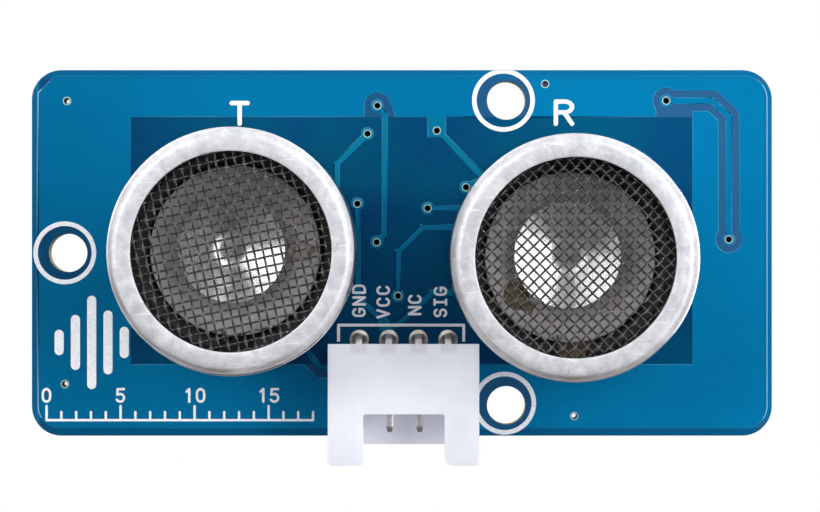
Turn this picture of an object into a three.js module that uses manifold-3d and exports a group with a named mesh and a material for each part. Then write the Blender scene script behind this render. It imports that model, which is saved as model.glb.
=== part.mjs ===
// Ultrasonic distance sensor module: a blue circuit board that carries a transmitting and a receiving
// open-type ultrasonic transducer side by side on its front, a right-angle four-way cable socket on
// its lower edge, and the drive and receive electronics on its back.
//
// Units are millimetres. +X is to the right as the transducers are faced, +Z is up and the
// transducers face -Y. The origin is the centre of the board's front face.

import * as THREE from "three";
import { mergeVertices } from "three/addons/utils/BufferGeometryUtils.js";
import Module from "manifold-3d";

const wasm = await Module();
wasm.setup();

// ---------------------------------------------------------------- shared dimensions
const BOARD = { width: 50.0, height: 24.7, thickness: 1.6, cornerRadius: 2.0 };

const TRANSMITTER_AT = [-10.97, 0.15]; // X, Z of each transducer's axis
const RECEIVER_AT = [11.1, -0.3];
const TERMINAL_PITCH = 10.0; // between the two terminals of a transducer

const SOCKET = {
  x: 0.12, // centre
  width: 10.0,
  height: 5.0, // above the board
  mouthZ: -14.05,
  rearZ: -6.05,
  wall: 0.78,
  cavityEndZ: -7.4,
};
const PIN = {
  pitch: 2.0,
  side: 0.5,
  height: 2.55, // axis above the board
  tipZ: -11.96,
  legZ: -5.86, // axis of the leg that passes through the board
  tail: 2.9, // how far the leg reaches behind the board's front face
};
const PIN_NAMES = ["gnd", "vcc", "spare", "signal"];
const PIN_XS = PIN_NAMES.map((_, i) => SOCKET.x + (i - 1.5) * PIN.pitch);

const OVERSHOOT = 1; // how far a cutting solid reaches past what it cuts

// ---------------------------------------------------------------- solids and shapes
function solidOf(geometry) {
  const bare = geometry.index ? geometry.toNonIndexed() : geometry.clone();
  bare.deleteAttribute("normal");
  bare.deleteAttribute("uv");
  const merged = mergeVertices(bare, 1e-4);
  return new wasm.Manifold(
    new wasm.Mesh({
      numProp: 3,
      vertProperties: new Float32Array(merged.attributes.position.array),
      triVerts: new Uint32Array(merged.index.array),
    }),
  );
}

function geometryOf(solid) {
  const mesh = solid.getMesh();
  const geometry = new THREE.BufferGeometry();
  const positions = Float32Array.from(mesh.vertProperties);
  geometry.setAttribute("position", new THREE.BufferAttribute(positions, 3));
  geometry.setIndex(new THREE.BufferAttribute(Uint32Array.from(mesh.triVerts), 1));
  geometry.computeVertexNormals();
  return geometry;
}

const join = (first, ...others) =>
  geometryOf(others.reduce((solid, other) => solid.add(solidOf(other)), solidOf(first)));
const cut = (first, ...others) =>
  geometryOf(others.reduce((solid, other) => solid.subtract(solidOf(other)), solidOf(first)));

const vectors = (points) => points.map(([x, y]) => new THREE.Vector2(x, y));

const circle = ([centreX, centreY], radius, segments, turn = 0) =>
  Array.from({ length: segments }, (_, i) => {
    const angle = turn + (2 * Math.PI * i) / segments;
    return new THREE.Vector2(
      centreX + radius * Math.cos(angle),
      centreY + radius * Math.sin(angle),
    );
  });

function roundedRectangle(width, height, radius, segments) {
  const points = [];
  [[1, 1], [-1, 1], [-1, -1], [1, -1]].forEach(([sideX, sideY], corner) => {
    for (let i = 0; i <= segments; i++) {
      const angle = (Math.PI / 2) * (corner + i / segments);
      points.push(
        new THREE.Vector2(
          sideX * (width / 2 - radius) + radius * Math.cos(angle),
          sideY * (height / 2 - radius) + radius * Math.sin(angle),
        ),
      );
    }
  });
  return points;
}

// A flat plate in the XZ plane; its outline and holes are given as (X, Z).
function plateXZ(outline, holes, [yMin, yMax]) {
  const shape = new THREE.Shape(outline);
  for (const hole of holes) shape.holes.push(new THREE.Path(hole));
  const geometry = new THREE.ExtrudeGeometry(shape, {
    depth: yMax - yMin,
    bevelEnabled: false,
  });
  geometry.rotateX(Math.PI / 2);
  geometry.translate(0, yMax, 0);
  return geometry;
}

// A bar along X from xMin; its cross-section is given as (Y, Z).
function barAlongX(section, xMin, length) {
  const geometry = new THREE.ExtrudeGeometry(new THREE.Shape(vectors(section)), {
    depth: length,
    bevelEnabled: false,
  });
  // cyclic change of axes: the section's (x, y) and the depth z become Y, Z and X
  geometry.applyMatrix4(
    new THREE.Matrix4().set(0, 0, 1, 0, 1, 0, 0, 0, 0, 1, 0, 0, 0, 0, 0, 1),
  );
  geometry.translate(xMin, 0, 0);
  return geometry;
}

function box([xMin, xMax], [yMin, yMax], [zMin, zMax]) {
  const geometry = new THREE.BoxGeometry(xMax - xMin, yMax - yMin, zMax - zMin);
  geometry.translate((xMin + xMax) / 2, (yMin + yMax) / 2, (zMin + zMax) / 2);
  return geometry;
}

// The span that reaches equally far to both sides of a centre.
const about = (centre, half) => [centre - half, centre + half];

// A turned solid about Y; its profile is given as (radius, height).
const lathe = (profile, segments) => new THREE.LatheGeometry(vectors(profile), segments);

const disc = ({ radius, bottom, top }, segments) =>
  lathe([[0, bottom], [radius, bottom], [radius, top], [0, top]], segments);

const washer = ({ inner, outer, bottom, top }, segments) =>
  lathe(
    [[inner, bottom], [outer, bottom], [outer, top], [inner, top], [inner, bottom]],
    segments,
  );

// ---------------------------------------------------------------- materials
const material = (settings) => new THREE.MeshStandardMaterial(settings);
const MATERIALS = {
  board: material({ color: 0x0078b0, roughness: 0.35, metalness: 0.0 }),
  can: material({ color: 0xd9dade, roughness: 0.38, metalness: 0.9 }),
  screen: material({ color: 0x3a393a, roughness: 0.5, metalness: 0.6 }),
  base: material({ color: 0x161616, roughness: 0.6, metalness: 0.0 }),
  silicone: material({ color: 0xd8d4c8, roughness: 0.7, metalness: 0.0 }),
  piezo: material({ color: 0xb9a98c, roughness: 0.7, metalness: 0.0 }),
  plate: material({ color: 0x77757a, roughness: 0.45, metalness: 0.5 }),
  cone: material({ color: 0xe6e6e8, roughness: 0.25, metalness: 1.0 }),
  tin: material({ color: 0xc8c5bf, roughness: 0.35, metalness: 0.9 }),
  lead: material({ color: 0xb06a3a, roughness: 0.45, metalness: 0.8 }),
  socket: material({ color: 0xeeeef4, roughness: 0.45, metalness: 0.0 }),
  chip: material({ color: 0x1b1b1d, roughness: 0.6, metalness: 0.0 }),
  crystal: material({ color: 0xc9c9c6, roughness: 0.3, metalness: 0.9 }),
  capacitor: material({ color: 0xb8946a, roughness: 0.5, metalness: 0.0 }),
  bulk: material({ color: 0xc98a2b, roughness: 0.5, metalness: 0.0 }),
  resistor: material({ color: 0x202022, roughness: 0.5, metalness: 0.0 }),
};

const sensor = new THREE.Group();

function place(parent, name, geometry, finish, at = [0, 0, 0], turn = [0, 0, 0]) {
  const mesh = new THREE.Mesh(geometry, finish);
  mesh.name = name;
  mesh.position.set(...at);
  mesh.rotation.set(...turn);
  parent.add(mesh);
}

// ---------------------------------------------------------------- circuit board
// Front at y 0, back at y BOARD.thickness.
const MOUNT_HOLES = [[-22.55, 0.0], [7.05, 10.3], [7.05, -10.3]]; // X, Z
const MOUNT_HOLE_RADIUS = 1.3; // clears an M2 or M2.5 screw
const TERMINAL_HOLE_RADIUS = 0.5;
const PIN_HOLE_RADIUS = 0.45;
const PRINTED_RING = {
  shift: [-0.15, 0.02], // X, Z: the rings sit a little off the drilled holes
  inner: 1.8,
  outer: 2.14,
  proud: 0.05,
  sunk: 0.2, // overlap with the board
  edgeMargin: 0.05, // kept clear along the board's upper and lower edges
  socketMargin: 0.3, // kept clear beside the cable socket
};
const MIDDLE_PANEL = vectors([[-2.4, -4.0], [2.4, -4.0], [2.4, 3.0], [-2.4, 3.0]]);

function boardDrills() {
  const mounts = MOUNT_HOLES.map((centre) => circle(centre, MOUNT_HOLE_RADIUS, 18));
  const terminals = [TRANSMITTER_AT, RECEIVER_AT].flatMap(([x, z]) =>
    [-1, 1].map((side) =>
      circle([x, z + (side * TERMINAL_PITCH) / 2], TERMINAL_HOLE_RADIUS, 8),
    ),
  );
  const pins = PIN_XS.map((x) => circle([x, PIN.legZ], PIN_HOLE_RADIUS, 8, Math.PI / 8));
  return [...mounts, ...terminals, ...pins];
}

// The ring round one mounting hole, cut off near the board's edges.
function printedRing([holeX, holeZ], ySpan) {
  const { shift, inner, outer, edgeMargin } = PRINTED_RING;
  const centre = [holeX + shift[0], holeZ + shift[1]];
  const ring = plateXZ(circle(centre, outer, 18), [circle(centre, inner, 18)], ySpan);
  const limits = box(
    about(0, BOARD.width / 2),
    [-OVERSHOOT, BOARD.thickness + OVERSHOOT],
    about(0, BOARD.height / 2 - edgeMargin),
  );
  return solidOf(ring).intersect(solidOf(limits));
}

function boardGeometry() {
  const { thickness } = BOARD;
  const { proud, sunk, socketMargin } = PRINTED_RING;
  const outline = roundedRectangle(BOARD.width, BOARD.height, BOARD.cornerRadius, 6);
  // the middle of the board is a separate panel, joined in flush
  const surround = plateXZ(outline, [...boardDrills(), MIDDLE_PANEL], [0, thickness]);
  let board = solidOf(surround).add(solidOf(plateXZ(MIDDLE_PANEL, [], [0, thickness])));

  // the lower front ring stops where the cable socket begins
  const socketClearance = solidOf(
    box([3, SOCKET.x + SOCKET.width / 2 + socketMargin], about(0, OVERSHOOT), [-13, -7]),
  );
  for (const hole of MOUNT_HOLES) {
    let front = printedRing(hole, [-proud, sunk]);
    if (hole[1] < -5) front = front.subtract(socketClearance);
    const back = printedRing(hole, [thickness - sunk, thickness + proud]);
    board = board.add(front).add(back);
  }
  return geometryOf(board);
}

place(sensor, "circuit_board", boardGeometry(), MATERIALS.board);

// ---------------------------------------------------------------- transducers
// Each is built upright, its height measured along +Y from the board's front face, then turned
// over so that it faces -Y. Local Z is then the board's -Z.
const CAN = {
  radius: 8.0,
  wall: 0.4,
  bottom: 0.3,
  top: 12.0, // front lip
  openingRadius: 6.44,
  openingChamfer: 0.12,
  lipThickness: 0.45,
  shoulderRadius: 0.85,
  innerChamfer: [0.3, 0.4], // radial, axial: under the lip
};
const SCREEN = {
  radius: 7.3,
  thickness: 0.24,
  bottom: 11.2,
  pitch: 1.6,
  bar: 0.45,
  border: 0.3, // least width left solid round the rim
};
const BASE = { radius: 7.5, height: 3.0, chamfer: 0.2, drillRadius: 0.39 };
const RIM_WALL = { inner: 5.8, outer: 6.6, top: 4.4 };
const NODAL_RIDGE = { inner: 3.4, outer: 4.2, top: 4.4 }; // under the disc's still circle
const LEAD_GAP = { halfWidth: 1.3, rise: 0.2, zSpans: [[5.2, 7.2], [-7.2, -5.2]] };
const BEAD = { inner: 3.45, outer: 4.15, bottom: 4.43, top: 4.84 };
const PIEZO = { radius: 4.8, bottom: 4.88, top: 5.14 };
const PLATE = { radius: 5.6, bottom: 5.18, top: 5.4 };
const CONE = { radius: 3.5, foot: 5.44, top: 6.8, thickness: 0.16 };
const TERMINAL = {
  radius: 0.35,
  tail: 3.1, // how far it reaches behind the board's front face
  tipRadius: 0.22,
  tipLength: 0.2,
  headRadius: 0.6,
  headTopRadius: 0.45,
};
const TERMINAL_HEAD = [0.04, 0.3, 0.42].map((rise) => BASE.height + rise); // foot, edge, top
const LEAD_RADIUS = 0.11;

// Lead paths, as X, Y, Z. The first runs from the upper terminal's head to the underside of the
// ceramic disc, the second from the lower terminal's head, round the vibrating plate's edge, to
// its front.
const LEAD_START_Y = BASE.height + 0.56;
const CERAMIC_LEAD = [
  [0, LEAD_START_Y, -TERMINAL_PITCH / 2],
  [0.4, BASE.height + 1.0, -5.1],
  [0.6, BASE.height + 1.45, -4.9],
  [0.5, PIEZO.bottom - 0.18, -4.4],
];
const PLATE_LEAD = [
  [0, LEAD_START_Y, TERMINAL_PITCH / 2],
  [-0.3, BASE.height + 0.9, 5.6],
  [-0.5, BASE.height + 1.7, 6.05],
  [-0.7, PLATE.top + 0.28, 5.85],
  [-0.85, PLATE.top + 0.2, 5.1],
];

function canGeometry() {
  const { radius, wall, bottom, top, openingRadius, openingChamfer, shoulderRadius } = CAN;
  const innerRadius = radius - wall;
  const lipBottom = top - CAN.lipThickness;
  const [chamferIn, chamferDown] = CAN.innerChamfer;
  const shoulder = Array.from({ length: 4 }, (_, i) => {
    const angle = ((Math.PI / 2) * i) / 3;
    return [
      radius - shoulderRadius + shoulderRadius * Math.cos(angle),
      top - shoulderRadius + shoulderRadius * Math.sin(angle),
    ];
  });
  return lathe(
    [
      [innerRadius, bottom],
      [radius, bottom],
      ...shoulder,
      [openingRadius + openingChamfer, top],
      [openingRadius, top - openingChamfer],
      [openingRadius, lipBottom],
      [innerRadius - chamferIn, lipBottom],
      [innerRadius, lipBottom - chamferDown],
      [innerRadius, bottom],
    ],
    32,
  );
}

// A disc with every square hole of the grid that fits inside its border.
function screenGeometry() {
  const { radius, thickness, pitch, bar, border } = SCREEN;
  const half = (pitch - bar) / 2;
  const holes = [];
  for (let i = -5; i <= 5; i++)
    for (let j = -5; j <= 5; j++) {
      const x = i * pitch;
      const z = j * pitch;
      if (Math.hypot(Math.abs(x) + half, Math.abs(z) + half) < radius - border)
        holes.push(box(about(x, half), about(0, OVERSHOOT), about(z, half)));
    }
  return cut(disc({ radius, bottom: 0, top: thickness }, 32), ...holes);
}

function baseGeometry() {
  const { radius, height, chamfer, drillRadius } = BASE;
  const body = lathe(
    [
      [0, 0],
      [radius - chamfer, 0],
      [radius, chamfer],
      [radius, height],
      [RIM_WALL.outer, height],
      [RIM_WALL.outer, RIM_WALL.top],
      [RIM_WALL.inner, RIM_WALL.top],
      [RIM_WALL.inner, height],
      [NODAL_RIDGE.outer, height],
      [NODAL_RIDGE.outer, NODAL_RIDGE.top],
      [NODAL_RIDGE.inner, NODAL_RIDGE.top],
      [NODAL_RIDGE.inner, height],
      [0, height],
    ],
    24,
  );
  const drills = [1, -1].map((side) => {
    const drill = new THREE.CylinderGeometry(drillRadius, drillRadius, 4, 10);
    drill.translate(0, 1.6, (side * TERMINAL_PITCH) / 2);
    return drill;
  });
  // gaps in the rim wall beside the terminals
  const gaps = LEAD_GAP.zSpans.map((zSpan) =>
    box(
      about(0, LEAD_GAP.halfWidth),
      [height + LEAD_GAP.rise, RIM_WALL.top + OVERSHOOT],
      zSpan,
    ),
  );
  return cut(body, ...drills, ...gaps);
}

function coneGeometry() {
  const { radius, foot, top, thickness } = CONE;
  return lathe(
    [
      [0, foot],
      [0.75, foot],
      [radius, top - 0.12],
      [radius - 0.04, top],
      [radius - 0.16, top - 0.04],
      [0.62, foot + thickness],
      [0, foot + thickness],
    ],
    24,
  );
}

function terminalGeometry() {
  const { radius, tail, tipRadius, tipLength, headRadius, headTopRadius } = TERMINAL;
  const [headFoot, headEdge, headTop] = TERMINAL_HEAD;
  return lathe(
    [
      [0, -tail],
      [tipRadius, -tail],
      [radius, -tail + tipLength],
      [radius, headFoot],
      [headRadius, headFoot],
      [headRadius, headEdge],
      [headTopRadius, headTop],
      [0, headTop],
    ],
    10,
  );
}

function leadGeometry(points) {
  const path = new THREE.CatmullRomCurve3(points.map((point) => new THREE.Vector3(...point)));
  return new THREE.ExtrudeGeometry(new THREE.Shape(circle([0, 0], LEAD_RADIUS, 6)), {
    steps: 8,
    bevelEnabled: false,
    extrudePath: path,
  });
}

const terminal = terminalGeometry();
// name, geometry, material, position; the last is left out on the axis
const TRANSDUCER_PARTS = [
  ["base", baseGeometry(), MATERIALS.base],
  ["silicone_bead", washer(BEAD, 24), MATERIALS.silicone],
  ["piezo_disc", disc(PIEZO, 28), MATERIALS.piezo],
  ["vibrating_plate", disc(PLATE, 32), MATERIALS.plate],
  ["cone", coneGeometry(), MATERIALS.cone],
  ["terminal_upper", terminal, MATERIALS.tin, [0, 0, -TERMINAL_PITCH / 2]],
  ["terminal_lower", terminal, MATERIALS.tin, [0, 0, TERMINAL_PITCH / 2]],
  ["ceramic_lead", leadGeometry(CERAMIC_LEAD), MATERIALS.lead],
  ["plate_lead", leadGeometry(PLATE_LEAD), MATERIALS.lead],
];
const can = canGeometry();
const screen = screenGeometry();

function addTransducer(name, [x, z], screenTurn) {
  const unit = new THREE.Group();
  unit.position.set(x, 0, z);
  unit.rotation.x = Math.PI;
  sensor.add(unit);
  place(unit, `${name}_can`, can, MATERIALS.can);
  const screenAt = [0, SCREEN.bottom, 0];
  place(unit, `${name}_mesh_screen`, screen, MATERIALS.screen, screenAt, [0, screenTurn, 0]);
  for (const [part, ...details] of TRANSDUCER_PARTS) place(unit, `${name}_${part}`, ...details);
}

addTransducer("transmitter", TRANSMITTER_AT, (-10 * Math.PI) / 180);
addTransducer("receiver", RECEIVER_AT, Math.PI / 4);

// ---------------------------------------------------------------- cable socket
// A box-shaped housing lying on the board with its mouth towards -Z. Its front wall is cut back
// between two arms, and its rear wall is slotted where the pins turn down into the board.
const ARM_SLOT = { left: 2.67, right: 2.72, endZ: -10.67 }; // sides measured from SOCKET.x
const BOARD_WALL = { halfWidth: 3.45, endZ: -12.88 }; // cut-back of the wall next to the board
const RECESS = { left: 3.2, right: 3.35, depth: 0.16, endZ: -7.6 };
const CAVITY_SIDE_EXTRA = 0.12; // side walls thicker than the others by this
const WALL_CUT_EXTRA = 0.1; // cuts through a wall reach this far into the cavity
const PIN_HOLE_HALF = 0.29;
const LEG_SLOT = { half: 0.34, rise: 0.36, startZ: -6.14 }; // rise is past the pin's axis

function housingGeometry() {
  const { x, width, height, mouthZ, rearZ, wall, cavityEndZ } = SOCKET;
  const fromMouth = (endZ) => [mouthZ - OVERSHOOT, endZ];
  const cavity = box(
    about(x, width / 2 - wall - CAVITY_SIDE_EXTRA),
    [-height + wall, -wall],
    fromMouth(cavityEndZ),
  );
  const armSlot = box(
    [x - ARM_SLOT.left, x + ARM_SLOT.right],
    [-height - OVERSHOOT, -height + wall + WALL_CUT_EXTRA],
    fromMouth(ARM_SLOT.endZ),
  );
  const boardWallCut = box(
    about(x, BOARD_WALL.halfWidth),
    [-wall - WALL_CUT_EXTRA, OVERSHOOT],
    fromMouth(BOARD_WALL.endZ),
  );
  // shallow, over the middle of the front wall
  const recess = box(
    [x - RECESS.left, x + RECESS.right],
    [-height - OVERSHOOT, -height + RECESS.depth],
    fromMouth(RECESS.endZ),
  );
  // a square hole through the rear wall for each pin, and a slot for its leg
  const pinCuts = PIN_XS.flatMap((pinX) => [
    box(
      about(pinX, PIN_HOLE_HALF),
      about(-PIN.height, PIN_HOLE_HALF),
      [cavityEndZ - OVERSHOOT, rearZ + OVERSHOOT],
    ),
    box(
      about(pinX, LEG_SLOT.half),
      [-PIN.height - LEG_SLOT.rise, OVERSHOOT],
      [LEG_SLOT.startZ, rearZ + OVERSHOOT],
    ),
  ]);
  const block = box(about(x, width / 2), [-height, 0], [mouthZ, rearZ]);
  return cut(block, cavity, armSlot, boardWallCut, recess, ...pinCuts);
}

// An L in the YZ plane, square in section, tapered at the tip and at the tail.
function pinGeometry(pinX) {
  const { side, tipZ, legZ, tail } = PIN;
  const half = side / 2;
  const axisY = -PIN.height;
  const chamfer = 0.14;
  const tipTaper = 0.35;
  const tailTaper = 0.3;
  const innerBend = 0.12;
  const section = [
    [axisY - half + chamfer, tipZ],
    [axisY + half - chamfer, tipZ],
    [axisY + half, tipZ + tipTaper],
    [axisY + half, legZ - half - innerBend],
    [axisY + half + innerBend, legZ - half],
    [tail - tailTaper, legZ - half],
    [tail, legZ - half + chamfer],
    [tail, legZ + half - chamfer],
    [tail - tailTaper, legZ + half],
    // outside of the bend
    [axisY + 0.2, legZ + half],
    [axisY - 0.1, legZ + half - 0.12],
    [axisY - half, legZ + half - 0.42],
    [axisY - half, tipZ + tipTaper],
  ];
  return barAlongX(section, pinX - half, side);
}

place(sensor, "socket_housing", housingGeometry(), MATERIALS.socket);
PIN_NAMES.forEach((name, i) =>
  place(sensor, `socket_pin_${name}`, pinGeometry(PIN_XS[i]), MATERIALS.tin),
);

// ---------------------------------------------------------------- electronics on the back
// Each package is built lying on the XY plane with +Z away from the board, then set on the back.
const SEAT = 0.03; // leads and end caps start this far above the board

function onBack(name, geometry, finish, [x, z], quarterTurns = 0) {
  const turn = [-Math.PI / 2, 0, (quarterTurns * Math.PI) / 2];
  place(sensor, name, geometry, finish, [x, BOARD.thickness, z], turn);
}

// Moulded package with gull-wing leads along two sides, its length along X.
function chipGeometry({ length, width, height, leads, pitch, span, leadWidth }) {
  const half = width / 2;
  const middle = height * 0.52; // height of the parting line
  const lift = 0.12;
  const draft = 0.12;
  const bodySection = [
    [-half, middle],
    [-half + draft, lift],
    [half - draft, lift],
    [half, middle],
    [half - draft, height],
    [-half + draft, height],
  ];

  const thickness = 0.18;
  const root = half - 0.15;
  const toe = span / 2;
  const knee = half + (toe - half) * 0.42;
  const leadSection = [
    [root, middle - thickness / 2],
    [knee - 0.1, middle - thickness / 2],
    [knee + 0.02, SEAT],
    [toe, SEAT],
    [toe, SEAT + thickness],
    [knee + 0.16, SEAT + thickness],
    [knee + 0.04, middle + thickness / 2],
    [root, middle + thickness / 2],
  ];

  const perSide = leads / 2;
  const parts = [barAlongX(bodySection, -length / 2, length)];
  for (let i = 0; i < perSide; i++) {
    const xMin = (i - (perSide - 1) / 2) * pitch - leadWidth / 2;
    for (const side of [1, -1]) {
      const section = leadSection.map(([y, z]) => [side * y, z]);
      parts.push(barAlongX(section, xMin, leadWidth));
    }
  }
  return join(...parts);
}

// Small package with two leads on one side and one on the other.
function transistorGeometry() {
  const leadHalf = 0.2;
  const leads = [[-0.95, -1], [0.95, -1], [0, 1]]; // X, side along Y
  // near and far Y, then the Z span, of a lead's shoulder, drop and foot
  const leadBoxes = [
    [0.5, 1.0, [0.4, 0.55]],
    [0.85, 1.0, [SEAT, 0.55]],
    [0.85, 1.25, [SEAT, 0.17]],
  ];
  const parts = [box([-1.45, 1.45], [-0.65, 0.65], [0.1, 1.0])];
  for (const [x, side] of leads)
    for (const [near, far, zSpan] of leadBoxes)
      parts.push(box(about(x, leadHalf), side > 0 ? [near, far] : [-far, -near], zSpan));
  return join(...parts);
}

const crystalGeometry = () =>
  join(
    box([-2.5, 2.5], [-1.6, 1.6], [SEAT, 0.55]),
    box([-2.3, 2.3], [-1.4, 1.4], [0.4, 0.95]),
  );

const supplyCapacitorGeometry = () =>
  join(
    box([-1.75, 1.75], [-1.4, 1.4], [0.15, 1.9]),
    box([-1.85, -1.2], [-1.1, 1.1], [SEAT, 1.0]),
    box([1.2, 1.85], [-1.1, 1.1], [SEAT, 1.0]),
  );

// Two-ended surface-mount part: a body between two slightly larger end caps.
function chipPartGeometry({ length, width, height, cap }) {
  const end = length / 2;
  const capY = about(0, width / 2);
  return join(
    box(about(0, end - 0.05), about(0, width / 2 - 0.03), [0.06, height - 0.03]),
    box([-end, -end + cap], capY, [SEAT, height]),
    box([end - cap, end], capY, [SEAT, height]),
  );
}

const controller = {
  length: 7.2, width: 5.3, height: 1.75, leads: 20, pitch: 0.65, span: 7.8, leadWidth: 0.3,
};
const driver = {
  length: 9.9, width: 3.9, height: 1.6, leads: 16, pitch: 1.27, span: 6.0, leadWidth: 0.42,
};
const amplifier = { ...driver, length: 8.65, leads: 14 };

onBack("controller_chip", chipGeometry(controller), MATERIALS.chip, [0.4, 2.2]);
onBack("transmit_driver_chip", chipGeometry(driver), MATERIALS.chip, [-16.6, 0.0], 1);
onBack("receive_amplifier_chip", chipGeometry(amplifier), MATERIALS.chip, [17.0, 0.2], 1);
onBack("crystal", crystalGeometry(), MATERIALS.crystal, [-0.6, 9.2]);
onBack("drive_transistor_1", transistorGeometry(), MATERIALS.chip, [-15.2, 8.6]);
onBack("drive_transistor_2", transistorGeometry(), MATERIALS.chip, [-19.6, 8.6]);
onBack("supply_capacitor", supplyCapacitorGeometry(), MATERIALS.bulk, [-7.6, -9.2]);

// X, Z, quarter turns
const CAPACITORS = [
  [-5.6, 9.2, 1], [3.6, 9.2, 1], [-7.0, 3.4, 1], [6.8, 3.4, 1],
  [13.2, 8.6, 0], [20.6, 6.6, 1], [13.4, -8.6, 0], [-12.0, -9.2, 1],
];
const RESISTORS = [
  [-7.0, 0.4, 1], [6.8, 0.4, 1], [16.0, 8.6, 0], [18.4, 8.6, 0], [16.2, -8.6, 0],
  [19.0, -8.6, 0], [21.4, -5.4, 1], [-14.4, -9.2, 1], [-16.8, -9.2, 1], [-19.2, -9.2, 1],
];

function addChipParts(name, size, finish, places) {
  const geometry = chipPartGeometry(size);
  places.forEach(([x, z, quarterTurns], i) =>
    onBack(`${name}_${i + 1}`, geometry, finish, [x, z], quarterTurns),
  );
}

const capacitorSize = { length: 1.6, width: 0.8, height: 0.8, cap: 0.35 };
const resistorSize = { length: 1.6, width: 0.8, height: 0.45, cap: 0.3 };
addChipParts("capacitor", capacitorSize, MATERIALS.capacitor, CAPACITORS);
addChipParts("resistor", resistorSize, MATERIALS.resistor, RESISTORS);

export default sensor;
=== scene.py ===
"""Ultrasonic distance sensor: the looks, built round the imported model."""

import bpy
import bmesh
import math
import random
from mathutils import Matrix, Vector, noise
from mathutils.geometry import delaunay_2d_cdt

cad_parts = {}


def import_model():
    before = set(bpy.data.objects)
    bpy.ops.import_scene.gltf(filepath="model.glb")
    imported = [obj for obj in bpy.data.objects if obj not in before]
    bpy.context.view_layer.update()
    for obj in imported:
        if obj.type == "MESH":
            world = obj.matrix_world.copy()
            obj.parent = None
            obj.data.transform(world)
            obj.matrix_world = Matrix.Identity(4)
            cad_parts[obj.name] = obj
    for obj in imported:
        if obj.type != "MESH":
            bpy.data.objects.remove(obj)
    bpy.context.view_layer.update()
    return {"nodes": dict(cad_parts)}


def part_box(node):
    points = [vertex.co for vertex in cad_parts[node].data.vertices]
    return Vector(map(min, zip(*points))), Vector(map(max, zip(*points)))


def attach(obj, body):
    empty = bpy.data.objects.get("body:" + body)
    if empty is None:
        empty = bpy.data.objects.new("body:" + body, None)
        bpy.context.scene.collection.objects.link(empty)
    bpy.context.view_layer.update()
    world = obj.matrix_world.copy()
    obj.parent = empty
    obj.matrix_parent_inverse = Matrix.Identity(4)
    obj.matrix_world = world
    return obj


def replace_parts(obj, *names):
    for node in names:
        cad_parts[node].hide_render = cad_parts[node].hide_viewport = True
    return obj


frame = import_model()
MM = 0.001
scene = bpy.context.scene


# ------------------------------------------------------------------ places taken from the frame (mm)
def mm_box(node):
    lo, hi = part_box(node)
    return [c / MM for c in lo], [c / MM for c in hi]


def centre_xz(node):
    lo, hi = mm_box(node)
    return ((lo[0] + hi[0]) / 2, (lo[2] + hi[2]) / 2)


T_AT = centre_xz("transmitter_can")
R_AT = centre_xz("receiver_can")
CAN_R = (mm_box("transmitter_can")[1][0] - mm_box("transmitter_can")[0][0]) / 2
CAN_H = -mm_box("transmitter_can")[0][1]
BOARD_LO, BOARD_HI = mm_box("circuit_board")
BOARD_W = BOARD_HI[0] - BOARD_LO[0]
BOARD_H = BOARD_HI[2] - BOARD_LO[2]
BOARD_T = 1.6
SOCKET_LO, SOCKET_HI = mm_box("socket_housing")
SOCKET_X = (SOCKET_LO[0] + SOCKET_HI[0]) / 2
PIN_X = [centre_xz("socket_pin_" + n)[0] for n in ("gnd", "vcc", "spare", "signal")]
PIN_LEG_Z = mm_box("socket_pin_gnd")[1][2] - 0.25
PIN_TIP_Z = mm_box("socket_pin_gnd")[0][2]
HOLES = [(-22.55, 0.0), (7.05, 10.3), (7.05, -10.3)]
HOLE_R = 1.3


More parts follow.
